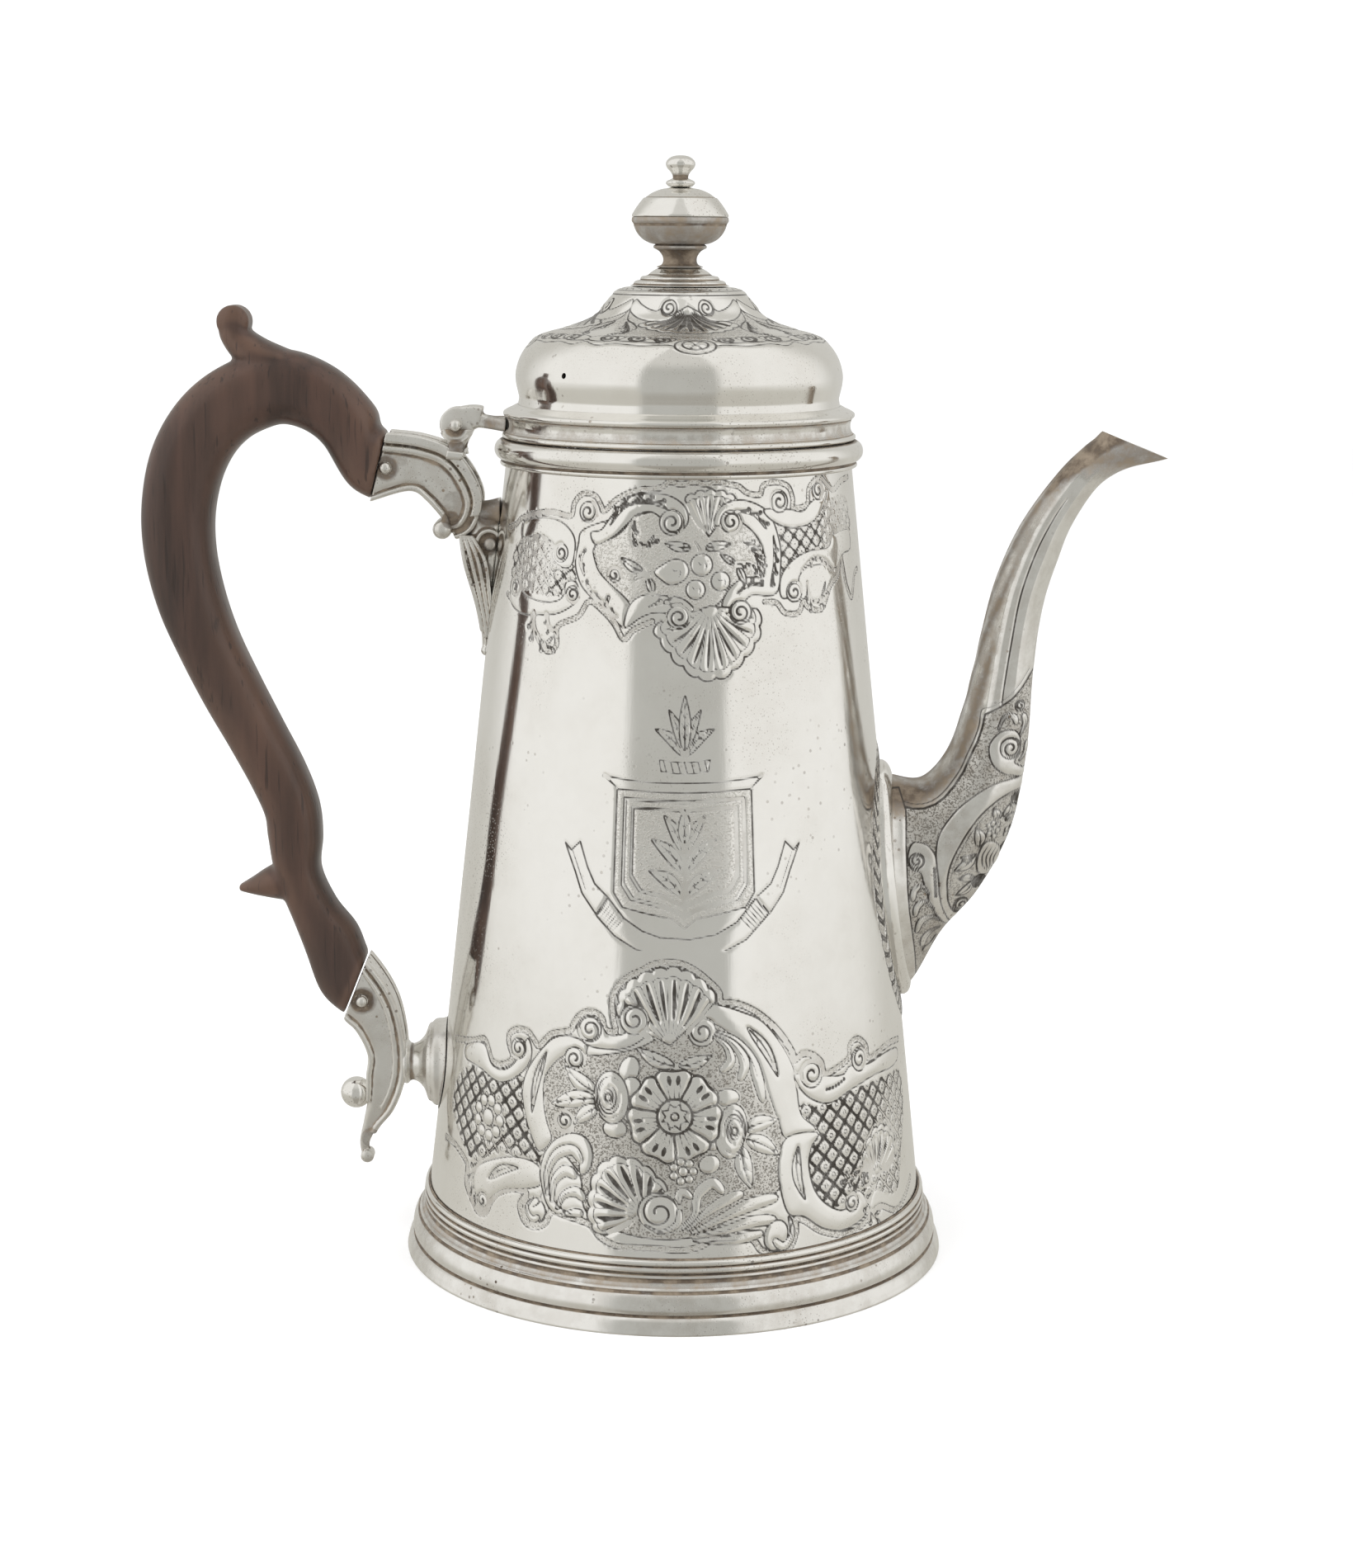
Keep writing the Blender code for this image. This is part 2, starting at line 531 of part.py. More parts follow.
def make_lower_socket(pot, gap_cone):
    mesh = sweep("lower_socket", LOWER_SOCKET_STATIONS, sides=12, steps=3, power=4.0)
    socket = add_object("lower_socket", mesh, pot, SILVER)
    curl = rod("lower_curl", -70.5, 19.4, 1.5, -2.2, 2.2)
    boolean(socket, add_cutter("lower_curl", curl), 'UNION')
    pocket = sweep("lower_pocket", LOWER_TENON, sides=8, steps=1, grow=GAP)
    boolean(socket, add_cutter("lower_pocket", pocket), 'DIFFERENCE')
    boolean(socket, bpy.data.objects["lower_pin_hole"], 'DIFFERENCE')
    seat = rod("bead_seat", -73.0, 34.4, 3.6 + GAP, -8.0, 8.0, sides=20)
    boolean(socket, add_cutter("bead_seat", seat), 'DIFFERENCE')

    bm = bmesh.new()
    place = Matrix.Translation((-73.0, 0.0, 34.4))
    bmesh.ops.create_uvsphere(bm, u_segments=16, v_segments=10, radius=3.6, matrix=place)
    add_object("lower_scroll_bead", finish_mesh("lower_scroll_bead", bm), pot, SILVER)

    # Turned about a line along X: the disc against the body, then the waisted neck
    profile = [(0.0, 50.0), (10.0, 50.0), (10.0, 55.4), (9.2, 56.2), (7.6, 56.8), (5.6, 57.6), (4.3, 58.8),
               (4.0, 60.0), (4.6, 60.7), (0.0, 60.7)]
    bm = bmesh.new()
    points = [bm.verts.new((-x, 0.0, radius)) for radius, x in profile]
    edges = [bm.edges.new(pair) for pair in zip(points, points[1:])]
    bmesh.ops.spin(bm, geom=points + edges, cent=(0.0, 0.0, 0.0), axis=(1.0, 0.0, 0.0),
                   angle=math.tau, steps=FINIAL_SIDES, use_merge=True, use_duplicate=False)
    bmesh.ops.translate(bm, vec=(0.0, 0.0, BOSS_Z), verts=bm.verts)
    boss = add_object("lower_boss", finish_mesh("lower_boss", bm), pot, SILVER)
    boolean(boss, gap_cone, 'DIFFERENCE')
    clearance = sweep("lower_clearance", LOWER_SOCKET_STATIONS, sides=12, steps=3, power=4.0, grow=GAP)
    boolean(boss, add_cutter("lower_clearance", clearance), 'DIFFERENCE')


def main():
    clear_scene()
    pot = add_empty("pot", AXIS_X, 0.0)
    lid = add_empty("lid", AXIS_X + HINGE_X, HINGE_Z)
    gap_cone = add_cutter("gap_cone", cone_solid("gap_cone", GAP))
    make_body(pot)
    make_foot(pot)
    make_rim(pot)
    make_lid(lid)
    make_finial(lid)
    make_spout(pot, gap_cone)
    make_handle(pot)
    make_upper_socket(pot, gap_cone)
    make_hinge(pot, lid)
    make_lower_socket(pot, gap_cone)


main()
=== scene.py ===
"""Looks of the silver coffee pot: chased silver, a fruitwood handle, the studio and the camera.

Lengths are millimetres. x is measured from the pot's upright axis, towards the spout, and z from the table.
"""

import json
import math

import bpy
import numpy as np
from mathutils import Matrix, Vector


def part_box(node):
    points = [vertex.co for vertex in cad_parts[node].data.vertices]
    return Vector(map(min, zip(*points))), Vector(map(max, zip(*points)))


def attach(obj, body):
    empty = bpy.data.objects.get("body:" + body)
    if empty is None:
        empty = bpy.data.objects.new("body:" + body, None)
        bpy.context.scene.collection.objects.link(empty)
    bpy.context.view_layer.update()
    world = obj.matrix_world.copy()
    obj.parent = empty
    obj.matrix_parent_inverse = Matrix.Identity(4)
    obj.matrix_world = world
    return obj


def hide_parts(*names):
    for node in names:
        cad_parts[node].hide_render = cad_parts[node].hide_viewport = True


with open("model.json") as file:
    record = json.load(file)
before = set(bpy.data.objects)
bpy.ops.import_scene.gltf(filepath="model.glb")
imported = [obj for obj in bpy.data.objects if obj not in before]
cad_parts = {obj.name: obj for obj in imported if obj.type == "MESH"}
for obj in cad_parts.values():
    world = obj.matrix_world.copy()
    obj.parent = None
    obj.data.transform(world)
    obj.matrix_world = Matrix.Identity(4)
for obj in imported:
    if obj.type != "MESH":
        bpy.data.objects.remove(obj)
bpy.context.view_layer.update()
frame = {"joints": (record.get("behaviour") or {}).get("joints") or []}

MM = 0.001
AXIS_X = sum(corner.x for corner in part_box("body_shell")) / 2.0 / MM
SHIFT = np.array([AXIS_X, 0.0, 0.0])
BODY_LOW, BODY_HIGH = (np.array(corner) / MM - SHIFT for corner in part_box("body_shell"))
HINGE = np.array(frame["joints"][0]["pos_m"]) / MM - SHIFT
TAPER = 0.1097   # loss of radius for each millimetre of height
WALL = 0.8       # thickness of the body's silver
SPOUT_Z = 85.8   # height of the middle of the spout's root


def cone_radius(z):
    """Outer radius of the body at a height."""
    return BODY_HIGH[1] - TAPER * (z - BODY_LOW[2])


# ---------------------------------------------------------------- meshes

def make_object(name, points, faces, attributes=None):
    """A smooth object from points in millimetres, with one value per point for each attribute."""
    mesh = bpy.data.meshes.new(name)
    world = (np.asarray(points, float).reshape(-1, 3) + SHIFT) * MM
    mesh.from_pydata(world, [], np.asarray(faces).tolist())
    for label, values in (attributes or {}).items():
        layer = mesh.attributes.new(label, 'FLOAT', 'POINT')
        layer.data.foreach_set("value", np.asarray(values, np.float32).ravel())
    mesh.shade_smooth()
    obj = bpy.data.objects.new(name, mesh)
    bpy.context.scene.collection.objects.link(obj)
    return obj


def apply_modifier(obj, kind, **settings):
    """Adds a modifier and applies it at once."""
    modifier = obj.modifiers.new(kind.lower(), kind)
    for key, value in settings.items():
        setattr(modifier, key, value)
    with bpy.context.temp_override(object=obj, active_object=obj, selected_objects=[obj]):
        bpy.ops.object.modifier_apply(modifier=modifier.name)


def cut_away(obj, points, faces):
    """Takes a closed shape, in millimetres, out of a piece."""
    mesh = bpy.data.meshes.new("cutter")
    mesh.from_pydata((points + SHIFT) * MM, [], faces)
    cutter = bpy.data.objects.new("cutter", mesh)
    bpy.context.scene.collection.objects.link(cutter)
    apply_modifier(obj, 'BOOLEAN', operation='DIFFERENCE', solver='EXACT', object=cutter)
    bpy.data.objects.remove(cutter)


def full_turn(count):
    """Evenly spaced angles round a circle."""
    return np.linspace(0.0, math.tau, count, endpoint=False)


def spin(outline, turn):
    """An outline of (radius, height) points turned about the upright axis."""
    return np.stack([outline[:, :1] * np.cos(turn), outline[:, :1] * np.sin(turn),
                     np.repeat(outline[:, 1:], len(turn), 1)], -1)


def grid_faces(rows, columns, wrap_rows=False, wrap_columns=True):
    """Quads of a grid of points, row by row."""
    r = np.arange(rows if wrap_rows else rows - 1)[:, None]
    c = np.arange(columns if wrap_columns else columns - 1)[None, :]
    below, beside = (r + 1) % rows, (c + 1) % columns
    quads = [r * columns + c, r * columns + beside, below * columns + beside, below * columns + c]
    return np.stack(quads, -1).reshape(-1, 4)


def bar_faces(sides, first=0):
    """Faces of a closed bar between two rings of points, the first of which starts at first."""
    caps = [range(sides - 1, -1, -1), range(sides, 2 * sides)]
    return (grid_faces(2, sides) + first).tolist() + [[first + k for k in cap] for cap in caps]


def blend(a, b, c, d, t):
    """Catmull-Rom blend from b to c."""
    return 0.5 * (2.0 * b + (c - a) * t + (2.0 * a - 5.0 * b + 4.0 * c - d) * t ** 2
                  + (3.0 * b - a - 3.0 * c + d) * t ** 3)


def smooth_curve(points, steps=8):
    """A smooth open curve through points of any dimension."""
    points = np.asarray(points, float)
    padded = np.vstack([points[:1], points, points[-1:]])
    t = np.linspace(0.0, 1.0, steps, endpoint=False)[:, None]
    runs = [blend(*padded[k:k + 4], t) for k in range(len(points) - 1)]
    return np.vstack(runs + [points[-1:]])


def step_lengths(curve):
    """Distances from each point of a curve to the next."""
    return np.linalg.norm(np.diff(curve, axis=0), axis=1)


def travelled(curve):
    """Distance from the start of a curve to each of its points."""
    return np.concatenate([[0.0], np.cumsum(step_lengths(curve))])


def headings(line):
    """Unit vectors along a line and to its left, at each of its points."""
    along = np.gradient(line, axis=0)
    along /= np.linalg.norm(along, axis=1)[:, None] + 1e-9
    return along, np.stack([-along[:, 1], along[:, 0]], -1)


def even(curve, spacing):
    """The same curve with evenly spaced points."""
    curve = curve[np.concatenate([[True], step_lengths(curve) > 1e-9])]
    distance = travelled(curve)
    count = max(int(distance[-1] / spacing), 2)
    wanted = np.linspace(0.0, distance[-1], count + 1)
    return np.stack([np.interp(wanted, distance, column) for column in curve.T], -1)


def fair(outline, spacing):
    """A smooth outline with even spacing. A point given twice in a row is a corner."""
    runs, run = [], [outline[0]]
    for before, point in zip(outline, outline[1:]):
        if point == before:
            runs.append(run)
            run = [point]
        else:
            run.append(point)
    runs.append(run)
    return even(np.vstack([smooth_curve(r, 10) for r in runs if len(r) > 1]), spacing)


def bead(radius, height, size, start=80.0, end=-80.0, count=9):
    """Points of a half-round bead standing out from an outline at (radius, height)."""
    angles = np.radians(np.linspace(start, end, count))
    points = [(radius + size * math.cos(a), height + size * math.sin(a)) for a in angles]
    return [points[0]] + points + [points[-1]]


def hollows(outline, reach, depth):
    """0 to 1 for each outline point: how deep it lies in a hollow, where tarnish stays."""
    padded = np.vstack([np.repeat(outline[:1], reach, 0), outline, np.repeat(outline[-1:], reach, 0)])
    middle = (padded[:-2 * reach] + padded[2 * reach:]) / 2.0
    along = padded[2 * reach:] - padded[:-2 * reach]
    normal = np.stack([-along[:, 1], along[:, 0]], -1)
    normal /= np.linalg.norm(normal, axis=1)[:, None] + 1e-9
    return np.clip(((middle - outline) * normal).sum(1) / depth, 0.0, 1.0)


def lathe(name, outer, back=(), columns=320, spacing=0.2, tarnish_and_shade=0.0, closed=True, shade_and_tarnish_marks=()):
    """A turned piece. outer is its visible outline from top to bottom, back the rest of a closed section.

    The seam heights it is given get painted shadow lines, where tarnish also gathers. A piece open in the
    middle is a little out of round.
    """
    front = fair(list(outer), spacing)
    dark = np.maximum(hollows(front, 3, 0.07), hollows(front, 7, 0.30))
    # Painted shadow lines at the given seam heights, with the tarnish of the seams.
    for height in shade_and_tarnish_marks:
        dark = dark + 1.2 * np.exp(-((front[:, 1] - height) / 0.28) ** 2)
    dark = np.clip(dark + tarnish_and_shade, 0.0, 1.0)
    section = np.vstack([front, np.asarray(back, float).reshape(-1, 2)])
    dark = np.concatenate([dark, np.full(len(back), 0.35)])
    turn = full_turn(columns)
    points = spin(section, turn)
    if section[:, 0].min() >= 1.0:
        wobble = 1.0 + 0.0006 * np.sin(2.0 * turn + 0.7) + 0.0004 * np.sin(5.0 * turn + 1.9)
        points[..., :2] *= wobble[:, None]
    faces = grid_faces(len(section), columns, wrap_rows=closed)[:, ::-1]
    # The attribute holds tarnish in the hollows and painted shadow lines along the seams.
    return make_object(name, points, faces, {"tarnish_and_shade": np.repeat(dark, columns)})


def superellipse(count, power):
    """Points of an oval that grows squarer with its power: 2 is a circle."""
    turn = math.tau * (np.arange(count) + 0.5) / count
    u = np.sign(np.cos(turn)) * np.abs(np.cos(turn)) ** (2.0 / power)
    v = np.sign(np.sin(turn)) * np.abs(np.sin(turn)) ** (2.0 / power)
    return u, v


def solid_mesh(name, points, faces):
    """A closed mesh in millimetres, ready to be fused."""
    mesh = bpy.data.meshes.new(name)
    mesh.from_pydata(np.asarray(points, float).reshape(-1, 3) + SHIFT, [], faces)
    return mesh


def sweep(stations, power=2.5, sides=32, steps=8, y=0.0):
    """A closed solid through stations of (x, z, half width, half depth, angle) in an upright plane."""
    s = smooth_curve(stations, steps)
    u, v = superellipse(sides, power)
    angle = np.radians(s[:, 4:5])
    across = u * s[:, 2:3]
    rings = np.stack([s[:, 0:1] - np.sin(angle) * across, np.reshape(y, (-1, 1)) + v * s[:, 3:4],
                      s[:, 1:2] + np.cos(angle) * across], -1)
    first, last = rings.size // 3, rings.size // 3 + 1
    faces = grid_faces(len(s), sides).tolist()
    for k in range(sides):
        n = (k + 1) % sides
        faces.append((n, k, first))
        faces.append(((len(s) - 1) * sides + k, (len(s) - 1) * sides + n, last))
    points = np.vstack([rings.reshape(-1, 3), rings[0].mean(0), rings[-1].mean(0)])
    return solid_mesh("sweep", points, faces)


def edge_cord(stations, side, y, radius, inset=0.0, start=0, end=None, power=2.0):
    """Cords along one edge of a sweep, on both faces: side is 1 for its left edge and -1 for its right.

    y is how far out the cord starts. From there it keeps with the sweep's own depth.
    """
    s = smooth_curve(stations, 8)[start:end]
    angle = np.radians(s[:, 4])
    reach = side * (s[:, 2] - inset)
    path = np.stack([s[:, 0] - np.sin(angle) * reach, s[:, 1] + np.cos(angle) * reach], -1)
    size = np.full(len(s), radius)
    cords = [np.stack([path[:, 0], path[:, 1], size, size, s[:, 4]], -1)] * 2
    depth = y + s[:, 3] - s[0, 3]
    return [sweep(cord, power, 20, 1, sign * depth) for cord, sign in zip(cords, (-1.0, 1.0))]


def turned(x, z, outline, sides=48):
    """A closed solid turned about a line along Y through (x, z). outline is (radius, y)."""
    rings = spin(np.asarray(outline, float), full_turn(sides))[..., [0, 2, 1]] + [x, 0.0, z]
    return solid_mesh("turned", rings, grid_faces(len(outline), sides).tolist())


def rod(x, z, radius, low, high, dome=0.0):
    """A round bar along Y, with ends rounded by dome."""
    turns = np.radians(np.linspace(0.0, 90.0, 7))
    start = [(radius * math.sin(a), low + dome * (1.0 - math.cos(a))) for a in turns]
    end = [(radius * math.sin(a), high - dome * (1.0 - math.cos(a))) for a in turns[::-1]]
    return turned(x, z, start + end)


def ball(x, z, radius):
    """A ball in the pot's middle plane."""
    angles = np.linspace(-math.pi / 2.0, math.pi / 2.0, 25)
    return turned(x, z, [(radius * math.cos(a), radius * math.sin(a)) for a in angles])


def fuse(name, meshes, voxel, rounds=3, seat=None, shade_and_tarnish_marks=()):
    """One skin round overlapping closed parts: joined, remeshed, smoothed, then scaled to metres.

    The skin carries its hollows as tarnish and its ridges as wear. seat keeps it that far off the body.
    The dark patches it is given, as (x, z, radius, strength), are painted shade in recesses and joins, with
    their tarnish.
    """
    parts = []
    for mesh in meshes:
        part = bpy.data.objects.new(name, mesh)
        bpy.context.scene.collection.objects.link(part)
        parts.append(part)
    with bpy.context.temp_override(object=parts[0], active_object=parts[0], selected_objects=parts,
                                   selected_editable_objects=parts):
        bpy.ops.object.join()
    obj = parts[0]
    obj.name = name
    apply_modifier(obj, 'REMESH', mode='VOXEL', voxel_size=voxel)
    apply_modifier(obj, 'SMOOTH', factor=0.5, iterations=rounds)
    mesh = obj.data
    co = np.empty(len(mesh.vertices) * 3)
    mesh.vertices.foreach_get("co", co)
    co = co.reshape(-1, 3)
    if seat is not None:
        local = co - SHIFT
        reach = np.hypot(local[:, 0], local[:, 1])
        wanted = np.maximum(reach, cone_radius(local[:, 2]) + seat)
        local[:, :2] *= (wanted / reach)[:, None]
        co = local + SHIFT
    weather(mesh, co, voxel, shade_and_tarnish_marks)
    mesh.vertices.foreach_set("co", (co * MM).ravel())
    mesh.update()
    mesh.shade_smooth()
    return obj


def weather(mesh, co, voxel, shade_and_tarnish_marks):
    """Writes a fused skin's tarnish, with painted shade, and its wear. The given patches, painted shade in
    recesses and joins, stay dark and lose their wear.
    """
    fine = ridges(mesh, co, max(int(0.8 / voxel), 3))
    broad = ridges(mesh, co, int(7.0 / voxel))
    patch_shade_and_tarnish = np.zeros(len(co))
    # Painted shade patches in recesses and at joins, with the tarnish there.
    for x, z, radius, strength in shade_and_tarnish_marks:
        near = np.hypot(co[:, 0] - SHIFT[0] - x, co[:, 2] - SHIFT[2] - z)
        patch_shade_and_tarnish = np.maximum(patch_shade_and_tarnish, strength * np.clip(2.5 - 2.5 * near / radius, 0.0, 1.0))
    for label, sign in (("tarnish_and_shade", -1.0), ("wear", 1.0)):
        layer = mesh.attributes.new(label, 'FLOAT', 'POINT')
        amount = np.clip(np.maximum(sign * fine / 0.05, sign * broad / 0.16), 0.0, 1.0)
        amount = np.maximum(amount, patch_shade_and_tarnish) if sign < 0.0 else amount * (1.0 - patch_shade_and_tarnish)
        layer.data.foreach_set("value", amount.astype(np.float32))


def ridges(mesh, co, rounds):
    """How far, in millimetres, each vertex stands proud of its smoothed surroundings."""
    edges = np.empty(len(mesh.edges) * 2, np.int32)
    mesh.edges.foreach_get("vertices", edges)
    a, b = edges.reshape(-1, 2).T
    normals = np.empty(len(mesh.vertices) * 3)
    mesh.vertex_normals.foreach_get("vector", normals)
    count = np.bincount(a, minlength=len(co)) + np.bincount(b, minlength=len(co))
    smooth = co.copy()
    for _ in range(rounds):
        total = np.stack([np.bincount(a, smooth[b, k], len(co)) + np.bincount(b, smooth[a, k], len(co))
                          for k in range(3)], -1)
        smooth = total / np.maximum(count, 1)[:, None]
    return ((co - smooth) * normals.reshape(-1, 3)).sum(1)


def drill(obj, x, y, z, direction, radius, length):
    """A real round hole through a piece."""
    sides = 24
    turn = full_turn(sides)
    ring = np.stack([radius * np.cos(turn), radius * np.sin(turn), np.zeros(sides)], -1)
    tilt = np.array(Vector(direction).to_track_quat('Z', 'Y').to_matrix())
    ends = [(ring + [0.0, 0.0, side * length / 2.0]) @ tilt.T + [x, y, z] for side in (-1, 1)]
    cut_away(obj, np.vstack(ends), bar_faces(sides))


def finish_piece(obj, material, body, slot, *nodes):
    """Gives a piece its material and body, and hides the CAD nodes that it takes the place of. The slot is
    not used.
    """
    obj.data.materials.clear()
    obj.data.materials.append(material)
    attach(obj, body)
    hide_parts(*nodes)
    return obj


# ---------------------------------------------------------------- materials

class Nodes:
    """A node tree, with short ways to add nodes and join them."""

    def __init__(self, tree):
        self.tree = tree

    def add(self, kind, **settings):
        node = self.tree.nodes.new("ShaderNode" + kind)
        for key, value in settings.items():
            setattr(node, key, value)
        return node

    def put(self, socket, value):
        if isinstance(value, bpy.types.NodeSocket):
            self.tree.links.new(value, socket)
        else:
            socket.default_value = value

    def math(self, operation, a, b=0.0, clamp=False):
        node = self.add("Math", operation=operation, use_clamp=clamp)
        self.put(node.inputs[0], a)
        self.put(node.inputs[1], b)
        return node.outputs[0]

    def mix(self, factor, a, b):
        """A colour between a and b."""
        node = self.add("Mix", data_type='RGBA')
        self.put(node.inputs[0], factor)
        for socket, colour in ((node.inputs[6], a), (node.inputs[7], b)):
            self.put(socket, colour if isinstance(colour, bpy.types.NodeSocket) else (*colour, 1.0))
        return node.outputs[2]

    def fit(self, value, low, high, out_low=0.0, out_high=1.0):
        """value stretched from low..high to another range, and kept inside it."""
        node = self.add("MapRange", interpolation_type='SMOOTHSTEP')
        for index, number in enumerate((value, low, high, out_low, out_high)):
            self.put(node.inputs[index], number)
        return node.outputs[0]


class Paint(Nodes):
    """A material's nodes."""

    def __init__(self, name):
        self.material = bpy.data.materials.new(name)
        self.material.use_nodes = True
        super().__init__(self.material.node_tree)
        self.surface = self.tree.nodes["Principled BSDF"]
        self.place = self.add("TexCoord").outputs["Object"]

    def attribute(self, name):
        return self.add("Attribute", attribute_name=name).outputs["Fac"]

    def noise(self, scale, detail=3.0, stretch=(1.0, 1.0, 1.0), roughness=0.5, turn=(0.0, 0.0, 0.0)):
        mapping = self.add("Mapping")
        mapping.inputs["Rotation"].default_value = turn
        mapping.inputs["Scale"].default_value = stretch
        self.put(mapping.inputs["Vector"], self.place)
        node = self.add("TexNoise")
        self.put(node.inputs["Vector"], mapping.outputs[0])
        node.inputs["Scale"].default_value = scale
        node.inputs["Detail"].default_value = detail
        node.inputs["Roughness"].default_value = roughness
        return node.outputs["Fac"]

    def cells(self, scale, feature='F1'):
        node = self.add("TexVoronoi", feature=feature)
        self.put(node.inputs["Vector"], self.place)
        node.inputs["Scale"].default_value = scale
        return node.outputs["Distance"]

    def bump(self, height, distance, strength=1.0, normal=None):
        node = self.add("Bump")
        node.inputs["Strength"].default_value = strength
        node.inputs["Distance"].default_value = distance
        self.put(node.inputs["Height"], height)
        if normal is not None:
            self.put(node.inputs["Normal"], normal)
        return node.outputs[0]

    def finish(self, **sockets):
        """Joins values to the surface's own sockets and gives the material."""
        for name, value in sockets.items():
            self.put(self.surface.inputs[name.replace("_", " ")], value)
        return self.material


CLEAN_SILVER, DULLED_SILVER = (0.93, 0.922, 0.895), (0.885, 0.872, 0.835)
# Dark browns of tarnish, also used for the painted shade of seams and recesses.
DARK_TARNISH_AND_SHADE, BROWN_TARNISH_AND_SHADE = (0.075, 0.052, 0.036), (0.30, 0.245, 0.185)
GROUND, PUNCH_MARK, CUT_LINE = (0.30, 0.26, 0.21), (0.13, 0.105, 0.08), (0.030, 0.024, 0.018)
DARK_GRAIN, GRAIN, WOOD_CLOUD = (0.019, 0.0098, 0.0068), (0.056, 0.027, 0.018), (0.078, 0.039, 0.025)
WORN_WOOD, WOOD_PORE = (0.125, 0.068, 0.042), (0.012, 0.006, 0.004)
GRAIN_TILT = (0.0, 0.35, 0.0)


def silver(name, patina=0.0, pits=0.0, polish=0.10, chased=False):
    """Old silver: hand-polished with fine scratches, brown tarnish in the hollows, painted shade along seams
    and in recesses, small pits and spots.
    """
    p = Paint(name)
    cloud = p.noise(38.0, 4.0)
    fine = p.noise(260.0, 5.0, roughness=0.65)
    # The mesh's darkening holds tarnish and painted shade; worn ridges lose some of it.
    hollow = p.math('SUBTRACT', p.attribute("tarnish_and_shade"), p.math('MULTIPLY', p.attribute("wear"), 0.9),
            clamp=True)
    uneven = p.math('MULTIPLY', p.math('SUBTRACT', fine, 0.5), 1.1)
    darkening = p.fit(p.math('ADD', hollow, uneven), 0.22, 0.95)
    veil = p.fit(cloud, 0.42, 0.75, patina * 0.35, patina)
    darkening = p.math('MAXIMUM', darkening, p.math('MULTIPLY', veil, p.fit(fine, 0.38, 0.66, 0.35, 1.0)))
    where = p.fit(p.noise(70.0, 3.0), 0.52, 0.66)
    speck = p.math('MULTIPLY', p.fit(p.cells(520.0), 0.12, 0.24, 1.0, 0.0), where)
    tiny = p.math('MULTIPLY', p.fit(p.cells(1400.0), 0.14, 0.28, 0.8, 0.0), p.fit(cloud, 0.45, 0.65))
    speck = p.math('MULTIPLY', p.math('MAXIMUM', speck, tiny), pits)
    darkening = p.math('MAXIMUM', darkening, speck)
    bright = p.mix(p.fit(cloud, 0.3, 0.7), CLEAN_SILVER, DULLED_SILVER)
    colour = p.mix(darkening, bright, p.mix(p.fit(fine, 0.3, 0.7), DARK_TARNISH_AND_SHADE, BROWN_TARNISH_AND_SHADE))
    rough = p.fit(p.noise(150.0, 5.0, (1.0, 1.0, 0.25)), 0.3, 0.75, polish * 0.7, polish * 1.5)
    rough = p.math('ADD', rough, p.math('MULTIPLY', darkening, 0.30))
    scratch = p.noise(900.0, 2.0, (1.0, 1.0, 0.06), turn=(0.5, 0.3, 0.0))
    height = p.math('ADD', p.math('MULTIPLY', scratch, 0.25), p.math('MULTIPLY', speck, -1.0))
    normal = p.bump(height, 0.00005, 0.6)
    metal = p.fit(darkening, 0.3, 1.0, 1.0, 0.5)
    if chased:
        line = p.fit(p.attribute("line_mm"), -0.10, 0.10, 1.0, 0.0)
        ground = p.attribute("matte")
        dots = p.fit(p.noise(2300.0, 2.0, roughness=0.6), 0.50, 0.64)
        punched = p.math('MULTIPLY', ground, dots)
        colour = p.mix(p.math('MULTIPLY', ground, 0.18), colour, GROUND)
        colour = p.mix(p.math('MULTIPLY', punched, 0.62), colour, PUNCH_MARK)
        colour = p.mix(p.math('MULTIPLY', line, p.fit(fine, 0.3, 0.6, 0.80, 0.98)), colour, CUT_LINE)
        rough = p.math('ADD', rough, p.math('MULTIPLY', p.math('MAXIMUM', ground, line), 0.20))
        normal = p.bump(punched, 0.00016, 0.9, normal)
        metal = p.math('SUBTRACT', metal, p.math('MULTIPLY', line, 0.5), clamp=True)
    return p.finish(Base_Color=colour, Metallic=metal, Roughness=rough, Normal=normal)


def fruitwood(name):
    """Dark polished fruitwood, straight grained, rubbed lighter and redder on its edges."""
    p = Paint(name)
    grain = p.noise(170.0, 6.0, (1.0, 1.0, 0.07), 0.6, GRAIN_TILT)
    broad = p.noise(45.0, 3.0, (1.0, 1.0, 0.2), turn=GRAIN_TILT)
    pores = p.fit(p.noise(1100.0, 2.0, (1.0, 1.0, 0.05), turn=GRAIN_TILT), 0.60, 0.72)
    wear = p.math('ADD', p.attribute("wear"), p.math('MULTIPLY', p.math('SUBTRACT', broad, 0.5), 1.2))
    colour = p.mix(p.fit(grain, 0.3, 0.7), DARK_GRAIN, GRAIN)
    colour = p.mix(p.fit(broad, 0.35, 0.7, 0.0, 0.5), colour, WOOD_CLOUD)
    colour = p.mix(p.fit(wear, 0.35, 1.3, 0.0, 0.45), colour, WORN_WOOD)
    colour = p.mix(p.math('MULTIPLY', pores, 0.6), colour, WOOD_PORE)
    rough = p.fit(p.noise(60.0, 4.0), 0.3, 0.7, 0.30, 0.46)
    height = p.math('SUBTRACT', p.math('MULTIPLY', grain, 0.4), pores)
    return p.finish(Base_Color=colour, Roughness=rough, Normal=p.bump(height, 0.00006, 0.6),
                    Specular_IOR_Level=0.5, Coat_Weight=0.25, Coat_Roughness=0.18)


# ---------------------------------------------------------------- chasing tools

